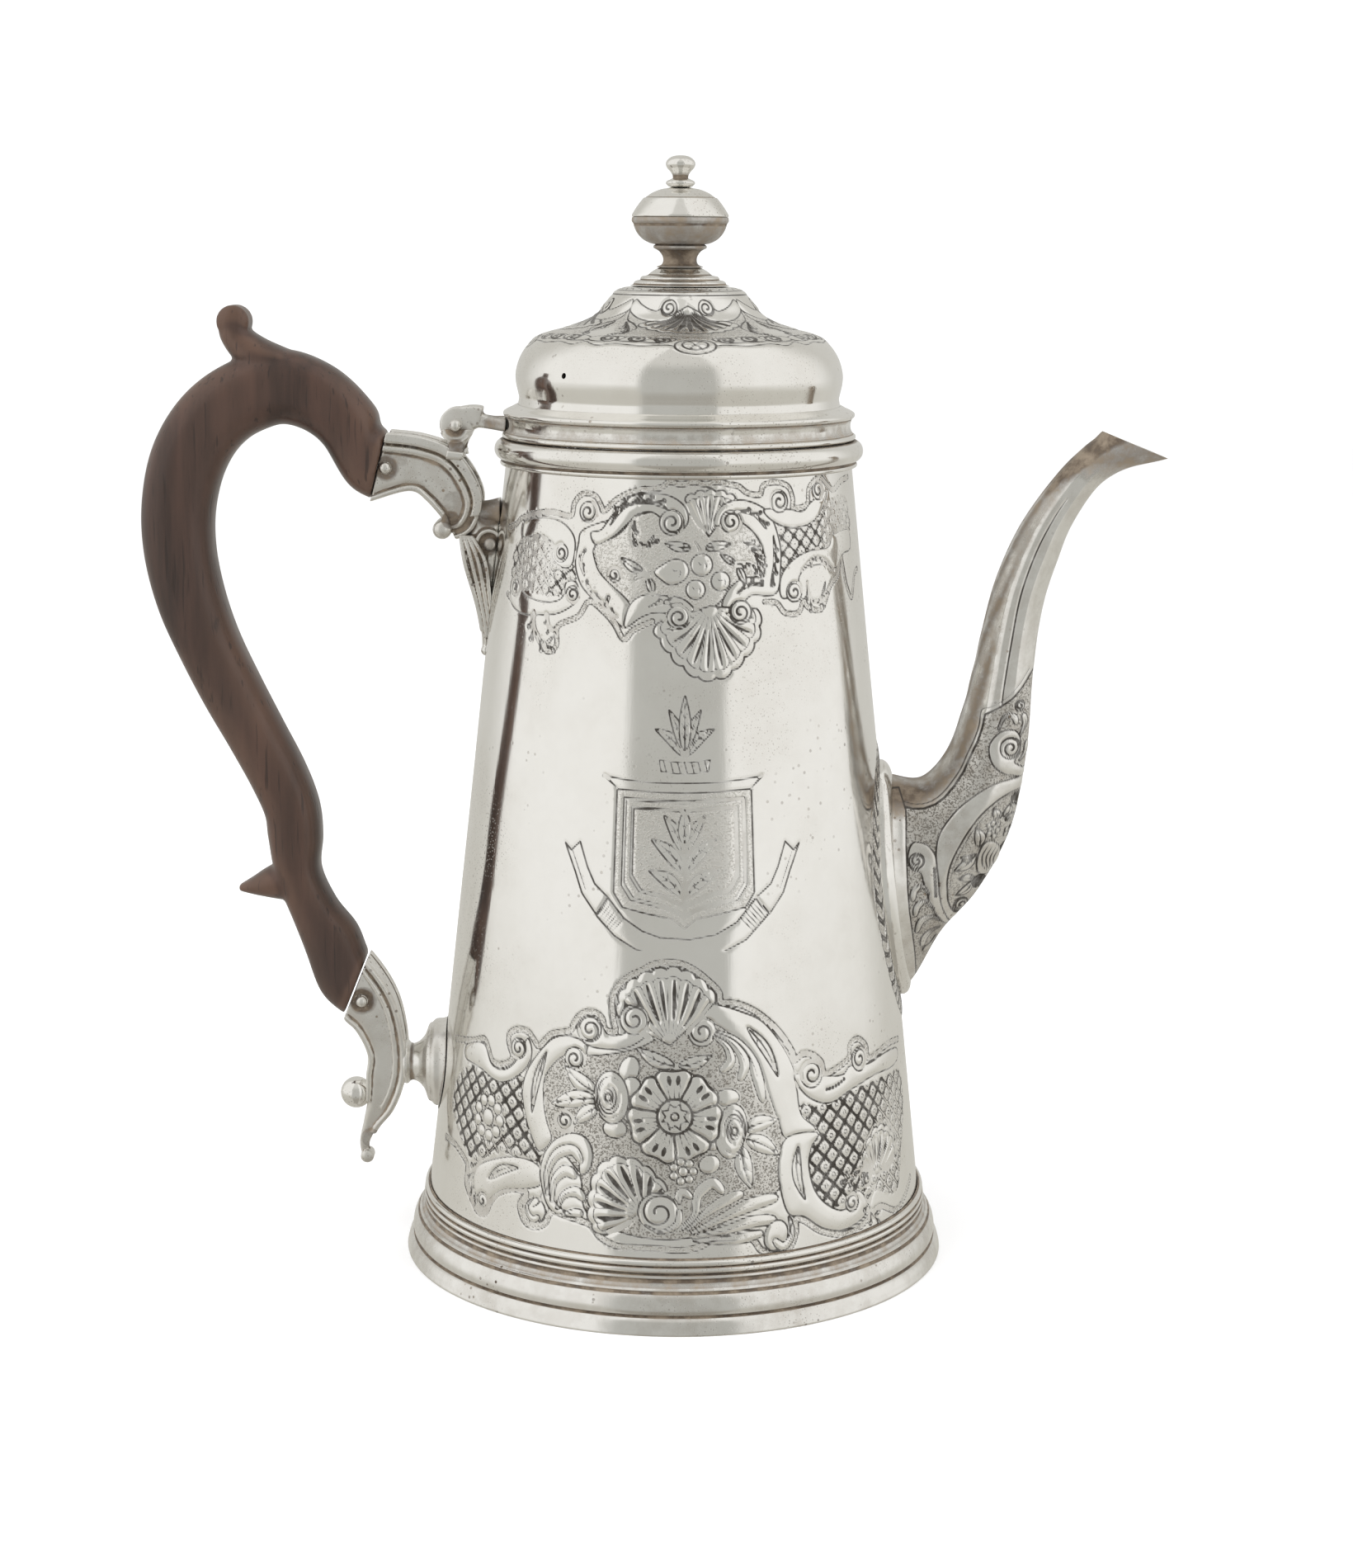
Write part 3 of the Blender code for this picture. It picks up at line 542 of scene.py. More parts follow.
def circle(x, z, radius, tall=None, sides=32, lean=0.0):
    """Points of a circle or oval. lean turns it, in degrees."""
    turn = full_turn(sides)
    u, v = radius * np.cos(turn), (tall or radius) * np.sin(turn)
    c, s = math.cos(math.radians(lean)), math.sin(math.radians(lean))
    return np.stack([x + u * c - v * s, z + u * s + v * c], -1)


def loop(outline, steps=6):
    """A smooth closed curve through points. The first point is repeated at its end."""
    points = np.asarray(outline, float)
    padded = np.vstack([points[-1:], points, points[:2]])
    t = np.linspace(0.0, 1.0, steps, endpoint=False)[:, None]
    runs = [blend(*padded[k:k + 4], t) for k in range(len(points))]
    return np.vstack(runs + [points[:1]])


def to_line(x, z, points):
    """Distance to a line of straight pieces, and how far along it, from 0 to 1, its nearest place is."""
    best = np.full(len(x), 1e9)
    along = np.zeros(len(x))
    for k, (a, b) in enumerate(zip(points, points[1:])):
        d = b - a
        t = np.clip(((x - a[0]) * d[0] + (z - a[1]) * d[1]) / (d @ d + 1e-12), 0.0, 1.0)
        distance = np.hypot(x - a[0] - t * d[0], z - a[1] - t * d[1])
        closer = distance < best
        best[closer] = distance[closer]
        along[closer] = (k + t[closer]) / (len(points) - 1)
    return best, along


def within(x, z, curve):
    """True for the places inside a closed curve."""
    odd = np.zeros(len(x), bool)
    for a, b in zip(curve, curve[1:]):
        crosses = (a[1] > z) != (b[1] > z)
        odd ^= crosses & (x < (b[0] - a[0]) * (z - a[1]) / (b[1] - a[1] + 1e-12) + a[0])
    return odd


class Canvas:
    """Chasing laid out flat: relief in millimetres, distance to the nearest cut line, and punched ground.

    Later shapes cover what lies under them, as overlapping leaves do.
    """

    REACH = 1.2   # how far from a line its groove can still be felt

    def __init__(self, x, z):
        self.grid = x.shape
        self.x, self.z = x.ravel(), z.ravel()
        self.height = np.zeros(x.size)
        self.line_mm = np.ones(x.size)
        self.matte = np.zeros(x.size)

    def fields(self):
        return {label: getattr(self, label).reshape(self.grid) for label in ("height", "line_mm", "matte")}

    def pick(self, points, margin=REACH):
        """Which places lie in the box round some points."""
        (left, low), (right, high) = points.min(0) - margin, points.max(0) + margin
        return np.flatnonzero((self.x > left) & (self.x < right) & (self.z > low) & (self.z < high))

    def cut(self, points, widths=(0.2, 0.45, 0.2), depth=0.10, steps=6):
        """An engraved line, with its width given at even steps along it."""
        line = smooth_curve(points, steps) if len(points) > 2 else np.asarray(points, float)
        at = self.pick(line)
        distance, along = to_line(self.x[at], self.z[at], line)
        half = np.interp(along, np.linspace(0.0, 1.0, len(widths)), widths) / 2.0
        self.line_mm[at] = np.minimum(self.line_mm[at], distance - half)
        self.height[at] -= depth * np.exp(-(distance / (half + 0.22)) ** 2)

    def shape(self, outline, bulge=0.15, spread=0.9, ground=0.0, width=0.42, smooth=True, base=0.0):
        """A closed outline, raised inside by bulge within spread of its edge."""
        curve = loop(outline) if smooth else np.vstack([outline, outline[:1]]).astype(float)
        at = self.pick(curve)
        x, z = self.x[at], self.z[at]
        distance, _ = to_line(x, z, curve)
        inner = within(x, z, curve)
        covered = at[inner]
        self.line_mm[covered] = 1.0
        self.matte[covered] = ground
        self.height[covered] = base + bulge * (1.0 - np.exp(-distance[inner] / spread))
        if width:
            self.line_mm[at] = np.minimum(self.line_mm[at], distance - width / 2.0)
            self.height[at] -= 0.08 * np.exp(-(distance / 0.4) ** 2)

    def border(self, points, width=1.3):
        """Two parallel lines with a punched strip between them."""
        line = smooth_curve(points, 5)
        at = self.pick(line, 2.0)
        distance, _ = to_line(self.x[at], self.z[at], line)
        strip = distance < width / 2.0
        self.line_mm[at[strip]] = 1.0
        self.matte[at[strip]] = 0.5
        self.height[at[strip]] = -0.08
        self.line_mm[at] = np.minimum(self.line_mm[at], np.abs(distance - width / 2.0) - 0.16)

    def lattice(self, outline, pitch=3.0, angle=45.0, width=0.7, drop=0.45):
        """A trellis with a ring in each square."""
        curve = loop(outline)
        at = self.pick(curve, 0.5)
        at = at[within(self.x[at], self.z[at], curve)]
        c, s = math.cos(math.radians(angle)), math.sin(math.radians(angle))
        a = (self.x[at] * c + self.z[at] * s) / pitch
        b = (-self.x[at] * s + self.z[at] * c) / pitch
        edge = np.minimum(np.abs(a - np.round(a)), np.abs(b - np.round(b))) * pitch
        u, v = np.abs(a - np.floor(a) - 0.5), np.abs(b - np.floor(b) - 0.5)
        ring = np.abs(np.hypot(u, v) * pitch - drop) - 0.13
        tick = np.where(np.maximum(u, v) > 0.27, np.abs(u - v) * pitch * 0.7 - 0.12, 1.0)
        self.line_mm[at] = np.minimum(np.minimum(edge - width / 2.0, ring), tick)
        self.matte[at] = np.where(edge < width / 2.0, 1.0, 0.15)
        self.height[at] = 0.14 * (1.0 - np.exp(-(edge / 0.6) ** 2)) - 0.08

    def volute(self, x, z, radius, start=0.0, turns=1.5, turn=1.0, bulge=0.28):
        """A round scroll end with a spiral cut into it."""
        self.shape(circle(x, z, radius), bulge, radius * 0.5)
        t = np.linspace(0.0, 1.0, 22)
        angle = math.radians(start) + turn * t * turns * math.tau
        reach = radius * (1.0 - 0.80 * t)
        spiral = np.stack([x + reach * np.cos(angle), z + reach * np.sin(angle)], -1)
        self.cut(spiral, (0.5, 0.5, 0.6), 0.16, 3)

    def leaf(self, base, tip, width, bend=0.0, veins=3, bulge=0.22):
        """A pointed leaf with a midrib and side veins."""
        base, tip = np.array(base, float), np.array(tip, float)
        along = tip - base
        across = np.array([-along[1], along[0]]) / (np.linalg.norm(along) + 1e-9)
        t = np.linspace(0.0, 1.0, 9)
        spine = base + t[:, None] * along + across * (bend * np.sin(math.pi * t))[:, None]
        half = (width * np.sin(math.pi * t ** 0.85) ** 0.8)[:, None] * across
        self.shape(np.vstack([spine + half, (spine - half)[-2:0:-1]]), bulge, width * 0.5, width=0.4)
        self.cut(spine[:8], (0.5, 0.35, 0.15))
        for k in range(veins):
            at = 0.22 + 0.55 * k / max(veins - 1, 1)
            root = base + at * along + across * bend * math.sin(math.pi * at)
            for side in (1.0, -1.0):
                end = root + along * 0.13 + side * across * width * 0.62 * math.sin(math.pi * (at + 0.1))
                self.cut([root, end], (0.3, 0.15), 0.05)

    def frond(self, stem, width, bulge=0.25):
        """One finger of a leaf: a curved strip that swells to a rounded tip, with a vein."""
        line = smooth_curve(stem, 8)
        _, across = headings(line)
        t = np.linspace(0.0, 1.0, len(line))
        tip = np.sqrt(np.clip(1.0 - (np.clip(t - 0.70, 0.0, 1.0) / 0.30) ** 2, 0.0, 1.0))
        half = (width * 0.5 * (0.30 + 0.70 * np.clip(t / 0.6, 0.0, 1.0)) * tip)[:, None] * across
        outline = np.vstack([line + half, (line - half)[-2::-1]])
        self.shape(outline, bulge, width * 0.3, width=0.36, smooth=False)
        self.cut(line[1:len(line) * 3 // 4], (0.1, 0.3, 0.1), 0.06, 1)

    def acanthus(self, stem, width, lobes=4, side=1.0, bulge=0.25):
        """A curling leaf: a stem with fingers branching to one side, the nearer ones on top."""
        line = smooth_curve(stem, 12)
        along, across = headings(line)
        reach = step_lengths(line).sum() / lobes * 1.25
        self.frond(stem, width * 0.55, bulge)
        for k in range(lobes - 1, -1, -1):
            at = int((0.06 + 0.80 * k / lobes) * len(line))
            root, on = line[at], along[at] * reach
            out = side * across[at] * width * (1.0 - 0.35 * k / lobes)
            bends = ((0.0, 0.0), (0.45, 0.28), (0.85, 0.72), (0.72, 1.15))
            self.frond([root + on * a + out * b for a, b in bends], min(width * 0.55, reach * 0.62), bulge)

    def shell(self, hub, rim, ribs, bulge=0.5, swell=(0.25, 0.75, 1.0, 0.5), reach=(0.28, 0.80)):
        """A fan of flutes from a hub to a scalloped rim, with a second line inside the rim.

        swell gives a flute's widths along it, reach where between hub and rim it starts and ends.
        """
        hub = np.array(hub, float)
        curve = smooth_curve(rim, 12)
        curve = even(curve, step_lengths(curve).sum() / (ribs * 8.0))
        t = np.linspace(0.0, 1.0, len(curve))
        wave = np.abs(np.sin(math.pi * ribs * t))[:, None] ** 0.7
        outward = (curve - hub) / np.linalg.norm(curve - hub, axis=1)[:, None]
        scalloped = curve + outward * (wave - 0.6) * 0.7
        self.shape(np.vstack([[hub], scalloped]), bulge, 2.6, smooth=False, width=0.45)
        self.cut(hub + (curve + outward * (wave - 0.6) * 0.55 - hub) * 0.88, (0.3, 0.3), 0.05, 1)
        for k in range(ribs):
            far = curve[min(int((k + 0.5) / ribs * (len(curve) - 1)), len(curve) - 1)]
            bow = np.array([-(far - hub)[1], (far - hub)[0]]) * 0.05 * (1.0 - 2.0 * (k + 0.5) / ribs)
            self.cut([hub + (far - hub) * f + bow * math.sin(math.pi * f) * 2.0
                      for f in (reach[0], (reach[0] + reach[1]) / 2.0, reach[1])], swell, 0.30)
            edge = curve[min(int(k / ribs * (len(curve) - 1)), len(curve) - 1)]
            self.cut([hub + (edge - hub) * 0.15, hub + (edge - hub) * 0.86], (0.2, 0.3, 0.2), 0.08)

    def flower(self, x, z, petals, inner, outer, start=90.0):
        """Round petals with flutes and dark cups, about a ringed centre with a star."""
        middle = (inner + outer) / 2.0
        for k in range(petals):
            turn = math.radians(start) + math.tau * k / petals
            out = np.array([math.cos(turn), math.sin(turn)])
            side = np.array([-out[1], out[0]])
            half = math.pi * middle / petals
            rows = ((inner * 0.8, 0.5), (middle, 1.05), (outer * 0.84, 1.3), (outer * 0.98, 0.85))
            left = [out * r + side * half * w for r, w in rows]
            right = [out * r - side * half * w for r, w in rows[::-1]]
            outline = np.array(left + [out * outer * 0.96] + right) + [x, z]
            self.shape(outline, 0.34, 0.9, width=0.6)
            cups = ((-0.30, 0.30), ((outer * 0.68, 0.9), (outer * 0.84, 1.15)), (0.5, 1.1, 0.8), 0.20)
            flutes = ((-0.55, 0.0, 0.55), ((inner * 1.05, 0.5), (middle, 0.9)), (0.35, 0.15), 0.06)
            for offsets, places, widths, depth in (cups, flutes):
                for offset in offsets:
                    line = [out * r + side * half * offset * w + [x, z] for r, w in places]
                    self.cut(line, widths, depth)
        self.shape(circle(x, z, inner), 0.25, 0.8, width=0.6)
        star = circle(0.0, 0.0, inner, sides=16) * np.resize([0.52, 0.80], 16)[:, None] + [x, z]
        self.shape(star, 0.1, 0.5, width=0.4, smooth=False)
        self.shape(circle(x, z, inner * 0.22, sides=12), 0.3, 0.4, width=0.5)

    def rosette(self, x, z, petals, radius):
        """A small flower of round petals about a button."""
        petal = radius * math.sin(math.pi / petals) / (1.0 + math.sin(math.pi / petals))
        for k in range(petals):
            turn = math.tau * k / petals
            spread = (radius - petal) * np.array([math.cos(turn), math.sin(turn)])
            self.shape(circle(x + spread[0], z + spread[1], petal, sides=14), 0.30, 0.6, width=0.40)
        self.shape(circle(x, z, radius * 0.36, sides=16), 0.30, 0.6, width=0.40)

    def rose(self, x, z, radius, tall, lean=0.0, shift=0.0):
        """A half-open rose seen from the side: petal edges curling round an off-centre bud."""
        self.shape(circle(x, z, radius, tall, 24, lean), 0.35, 1.2, width=0.45)
        for k, size in enumerate((0.80, 0.62, 0.46, 0.31)):
            turn = np.radians(np.linspace(-125.0, 125.0, 9) + 70.0 * k + (180.0 if shift < 0.0 else 0.0))
            u = radius * size * np.cos(turn) + shift * (1.0 - size) * 0.6
            v = tall * size * np.sin(turn)
            self.cut(np.stack([x + u, z + v], -1), (0.15, 0.42, 0.42, 0.15), 0.14, 3)
        self.shape(circle(x + shift * 0.4, z, radius * 0.17, tall * 0.15, 12), 0.2, 0.4, width=0.45)

    def fruit(self, outline, x, z):
        """A round fruit with two short cuts on it."""
        self.shape(outline, 0.45, 1.6, width=0.4)
        self.cut([(x - 0.6, z + 0.7), (x - 0.1, z + 0.1), (x + 0.6, z + 0.3)], (0.15, 0.35, 0.15), 0.05)
        self.cut([(x + 0.9, z + 0.5), (x + 1.2, z - 0.3), (x + 0.8, z - 1.1)], (0.15, 0.3, 0.15), 0.05)


def crescent(lower, upper):
    """The outline between a long lower edge and a shorter upper one."""
    return np.array(list(lower) + list(upper)[::-1], float)


# ---------------------------------------------------------------- what is chased on the body

def lower_band(c):
    """The wide band above the foot: trellis panels, C-scrolls, two shells and a spray of flowers."""
    c.lattice([(-61, 44), (-54, 49), (-43, 48), (-36, 51), (-34, 46), (-33, 40), (-30, 36), (-29, 33),
               (-40, 33), (-50, 29), (-58, 34), (-62, 38)])
    c.lattice([(28, 46), (34, 45), (43, 46.5), (58, 46.5), (67, 45), (68, 38), (63, 28), (58, 20), (47, 23.5),
               (38, 22.5), (34, 23), (31, 27), (29.5, 32.5), (30, 37)])
    c.shape([(-24, 57), (-27, 55.5), (-29.5, 51.5), (-29.5, 46.5), (-28.5, 42.5), (-26, 38), (-20, 32),
             (-18, 24), (-8, 20), (4, 20), (14, 25), (22.5, 29), (22.5, 35), (24.5, 40), (22.5, 44),
             (21, 48.5), (19, 54), (16, 59.5), (12, 63), (8, 65), (0, 64), (-8, 60), (-16, 58)],
            -0.08, 1.0, 1.0)
    c.border([(-64, 52.5), (-54.5, 54.5), (-49.5, 56), (-47.5, 54.5), (-45.5, 52), (-42, 52), (-39, 54),
              (-40.5, 57), (-40.5, 59), (-38, 60.5), (-35, 60.5), (-33, 59), (-31.5, 58), (-28.5, 61),
              (-24, 62.3), (-23, 64), (-21.5, 66), (-19, 67), (-16.5, 66), (-15.5, 63.5), (-13.2, 63.2),
              (-13.8, 66), (-14.2, 70), (-12.8, 73), (-10, 75.3), (-7.5, 76.4), (-5, 77.8), (-1, 78.3),
              (2, 77.8), (4.8, 76.4), (7.6, 74.2), (9.8, 72), (10.2, 69.8), (12, 69.6), (15.5, 68.7),
              (19.7, 66.2), (23.8, 62.3), (26.8, 57.8), (27.3, 55.9), (29.5, 56.9), (32, 56.4),
              (34.5, 54.3), (35.2, 51.8), (39, 52.3), (43, 53.8), (43.6, 56.4), (46.5, 57.2), (49.5, 55),
              (50, 52.3), (54, 52.3), (60, 53), (68, 52)])
    c.border([(-64, 30), (-58, 30), (-52, 27.5), (-51.7, 23.5), (-48.8, 20.3), (-46.2, 18.3), (-43.8, 18.8),
              (-42.3, 21.8), (-40.3, 24.1), (-36, 26), (-32.5, 25.8), (-34, 23), (-32.6, 19.8), (-30, 19),
              (-27.4, 20.3), (-26, 23), (-22, 22.6), (-17, 21.5), (-15, 19.2), (-11.5, 17.6), (-7, 17.5),
              (-3, 17.5), (1.5, 17.2), (5.5, 18), (8.7, 20), (10.7, 21), (13.5, 19.6), (16.3, 18.6),
              (18, 16.2), (21, 14.8), (24.2, 15.8), (25.8, 19), (25.9, 21.7), (28, 21.1), (32, 18.1),
              (38, 16), (43.5, 16.5), (50, 19), (58, 16), (68, 20)])
    lower_band_scrolls(c)
    lower_band_shells(c)
    lower_band_flowers(c)


def lower_band_scrolls(c):
    """The C-scrolls round the field of flowers."""
    c.shape(crescent([(-57, 50), (-50, 49.5), (-42.5, 48), (-36.5, 51), (-33.5, 55.5), (-35, 59)],
                     [(-57, 53), (-49.5, 55), (-45.8, 51.3), (-41.5, 51), (-38, 53.5)]), 0.2, 1.2)
    c.volute(-37.4, 56.5, 2.2, 250, 1.4, 1)
    c.shape([(-19.5, 59.5), (-21.5, 60.8), (-25, 61.2), (-28.5, 59.8), (-32, 56), (-34.5, 52), (-35.5, 47.5),
             (-34, 42), (-32.5, 39), (-30, 35.5), (-27, 38.5), (-28.5, 42.5), (-29.5, 46.5), (-29.5, 51.5),
             (-27, 55.3), (-24, 57), (-21, 55)], 0.22, 1.3)
    c.leaf((-29.5, 57), (-32.3, 43.5), 0.9, -0.8, 2, 0.12)
    c.volute(-22.4, 56.6, 2.4, 90, 1.4, -1)
    c.shape(crescent([(-22, 64), (-21.5, 62), (-20, 60), (-15.5, 59.3), (-10.5, 60), (-6.5, 62.5), (-4.9, 66),
                      (-5.8, 69)], [(-17, 65), (-15, 62.6), (-12, 62.6), (-10, 64)]), 0.22, 1.2)
    c.volute(-19, 63.2, 2.6, 180, 1.4, 1)
    c.shape([(2.5, 64.5), (3.5, 67), (6, 69), (9.5, 69.2), (15, 67.4), (20, 64.8), (24.5, 59.3), (27.1, 54),
             (27.6, 49.5), (28.5, 44), (32, 40), (25, 38.7), (22.5, 44), (21, 48.5), (19, 54), (16, 59.5),
             (12, 63), (8.5, 65), (6, 62)], 0.22, 1.4)
    c.leaf((16.2, 64), (23, 53), 1.1, 0.9, 2, 0.12)
    c.volute(6, 63.6, 3.1, 40, 1.5, 1)
    c.shape([(32.5, 39.5), (30.5, 36.5), (29.7, 32.5), (31, 27), (34.5, 23), (39, 21.3), (43, 24.5),
             (46, 21), (44.5, 18.3), (38, 17), (32.5, 18.6), (28, 22), (24.3, 23.3), (22.6, 29.5),
             (22.6, 35.5), (25, 39.8)], 0.2, 1.3)
    c.leaf((27.2, 37.3), (28.3, 25.7), 1.1, -1.1, 2, 0.12)
    c.volute(41, 22.3, 1.9, 0, 1.2, 1)
    c.shape(crescent([(27.5, 53), (28.2, 50), (31.5, 46.8), (36.5, 45.2), (43, 46.8), (52, 48), (60, 47.5),
            (66, 48)], [(34.5, 51.5), (40.5, 50.5), (43.5, 52), (50, 51), (58, 51.5), (66, 50.5)]),
            0.2, 1.2)
    for k in range(7):
        c.shape(circle(35.5 + 0.9 * k, 48.3 + 0.10 * k * k / 3.0, 0.2, sides=8), 0.1, 0.3, width=0.5)
    c.volute(31.7, 52.3, 2.9, 200, 1.5, -1)
    c.volute(46.6, 52.8, 2.6, 300, 1.5, 1)
    c.shape([(-29.5, 32), (-34, 33.2), (-40.5, 31.8), (-48, 28), (-50.4, 23.2), (-47.8, 19.6), (-44.4, 19.6),
             (-42.3, 22.5), (-38.5, 25.2), (-32.5, 26.8), (-29, 28.5)], 0.2, 1.2)
    c.leaf((-43.5, 26.5), (-35, 30.8), 1.0, 0.9, 2, 0.12)
    c.acanthus([(-47, 30), (-49.2, 26), (-48.5, 22.5), (-46, 20)], 1.5, 4, -1, 0.2)
    c.volute(-45.2, 21.2, 1.7, 0, 1.2, 1)
    c.shape([(-29, 29), (-29, 34), (-26.5, 38.3), (-22.5, 40.6), (-19, 40), (-17.3, 37), (-17.8, 33.4),
             (-19.8, 32), (-20.4, 34.5), (-22.5, 36.8), (-25.3, 35.8), (-27, 33), (-26.5, 29),
             (-24.5, 24.5), (-19, 22.8), (-26, 23.2)], 0.24, 1.1)
    c.volute(-24, 43, 1.9, 300, 1.3, 1)
    c.cut([(-22.5, 41.6), (-24.2, 40.7), (-26.2, 41.8), (-26.4, 44)], (0.4, 0.5, 0.3))
    for width, stem in ((2.4, [(-27.2, 26.4), (-27.6, 31.0), (-25.6, 35.4), (-21.8, 37.0), (-19.6, 34.4)]),
                        (2.4, [(-26.0, 25.2), (-25.8, 29.6), (-23.2, 32.4), (-20.6, 31.2)]),
                        (2.2, [(-24.8, 23.8), (-23.4, 27.0), (-20.6, 28.2), (-18.6, 26.6)]),
                        (1.9, [(-23.8, 22.6), (-21.0, 23.6), (-18.8, 23.6)])):
        c.frond(stem, width)
    c.shape(circle(-30.2, 22.6, 2.7), 0.25, 1.0)
    c.frond([(-30.6, 25.4), (-32.2, 22.8), (-30.6, 20.6), (-28.8, 21.6)], 1.5)
    c.cut([(-28.8, 26.5), (-29.2, 24.4), (-30.6, 23.2)], (0.3, 0.5, 0.3))


def lower_band_shells(c):
    """The upper and lower shell, and the fronds beside the lower one."""
    c.shell((-1, 60.8), [(-12.6, 66), (-13, 68.5), (-12.3, 71.5), (-10, 74.2), (-7, 75.9), (-4, 76.8),
            (-0.5, 77.2), (2.7, 76.4), (6, 74.6), (8.3, 72.2), (9.2, 70)],
            9, 0.55, (0.3, 0.7, 0.95, 0.5), (0.34, 0.84))
    c.volute(-9, 66, 3.2, 300, 1.5, 1)
    c.shell((-6.5, 25), [(-14, 19.5), (-16.8, 21), (-17.8, 24.5), (-17.6, 29), (-16.4, 33.3), (-13.5, 36.2),
            (-9.5, 36.6), (-6.3, 35.4), (-3.5, 33), (-1, 30)], 9, 0.55, (0.3, 0.8, 1.1, 0.5), (0.3, 0.82))
    for width, stem in ((2.2, [(4.0, 19.4), (9.6, 18.9), (14, 19.2), (18.6, 20.0)]),
                        (2.6, [(4.6, 20.2), (10.5, 21.2), (16.6, 22.6), (21.6, 22.4)]),
                        (2.8, [(3.6, 20.8), (10.1, 23.9), (15.9, 26.2), (22.2, 27.2)]),
                        (2.5, [(2.7, 21.4), (6.8, 25.2), (10.4, 27.4), (14.6, 29.0)]),
                        (2.5, [(1.6, 21.6), (4.4, 25.0), (4.9, 28.9), (8.0, 31.4), (10.4, 28.9)]),
                        (1.9, [(1.2, 22.4), (0.6, 26.4), (1.6, 29.6), (3.9, 28.2)])):
        c.frond(stem, width)
    c.volute(-3, 25.2, 4.3, 330, 1.6, 1, 0.4)
    c.frond([(-5.8, 22.4), (-2.6, 21), (0.8, 22.8), (1.2, 26.2)], 1.5)
    c.shape(circle(21.3, 19, 2.6, 3.3, lean=-20.0), 0.25, 1.0)
    c.frond([(24.4, 22.6), (25.0, 18.8), (22.8, 16.4), (20.6, 18.4)], 1.8)


def lower_band_flowers(c):
    """The spray in the field: leaves, buds, two roses, the large flower and the panels' rosettes."""
    c.leaf((0.2, 56.3), (-8.3, 60), 1.5, 0.5)
    c.leaf((0.6, 56.3), (8.2, 58.6), 1.4, -0.4)
    for width, stem in ((2.6, [(9.0, 63.6), (13.2, 61.6), (16.6, 57.6), (18.4, 52.6), (19.4, 47.6)]),
                        (2.4, [(8.8, 63.2), (13.0, 60.6), (15.4, 56.4), (14.0, 52.6)]),
                        (2.2, [(8.4, 62.6), (11.4, 60.2), (12.2, 57.0), (9.8, 55.0)])):
        c.frond(stem, width)
    for base, tip, width, bend, veins in (
            ((-16.4, 49.6), (-24.6, 54.6), 1.9, 0.5, 2), ((-16.6, 48.6), (-27.6, 46.0), 1.9, -0.6, 3),
            ((-16.2, 47.2), (-22.0, 42.6), 1.6, -0.3, 2), ((14.2, 42.0), (22.8, 43.8), 1.8, 0.5, 2),
            ((14.8, 40.6), (22.6, 36.2), 1.9, 0.5, 2), ((14.2, 39.4), (16.2, 29.6), 1.9, -0.5, 3)):
        c.leaf(base, tip, width, bend, veins)
    for x, z, radius, tall, lean in (
            (-9.9, 55.2, 2.2, 3.1, -20.0), (-12.6, 42.6, 2.6, 2.0, 0.0), (-9.0, 47.0, 2.2, 3.2, 0.0),
            (-9.2, 51.3, 2.2, 2.6, 0.0), (11.4, 49.4, 2.7, 1.9, 0.0), (7.4, 35.4, 2.3, 2.0, 20.0),
            (8.4, 45.2, 2.4, 2.6, 0.0), (8.2, 40.8, 2.2, 2.6, 0.0)):
        c.shape(circle(x, z, radius, tall, lean=lean), 0.3, 0.9)
    c.rose(-13.6, 49.2, 3.8, 5.6, 6.0, -1.7)
    c.rose(12.2, 42.2, 3.5, 5.9, -8.0, 1.6)
    c.flower(0.1, 45.7, 7, 3.7, 10.0, 92.0)
    c.rosette(1.9, 34.0, 7, 3.0)
    c.rosette(-45.5, 39.6, 9, 5.2)
    c.shell((50, 26), [(45, 30), (47, 34), (51, 36.5), (55, 36), (59, 33), (60, 28)], 7, 0.3)
    c.volute(46.2, 26.3, 1.6, 90, 1.3, -1)
    c.acanthus([(48, 27), (44.5, 28.5), (41, 27.6), (39.6, 29.4)], 1.4, 4, 1, 0.2)
    c.acanthus([(49, 24), (46.6, 20.5), (47.6, 17.6), (50.5, 18)], 1.4, 4, -1, 0.2)


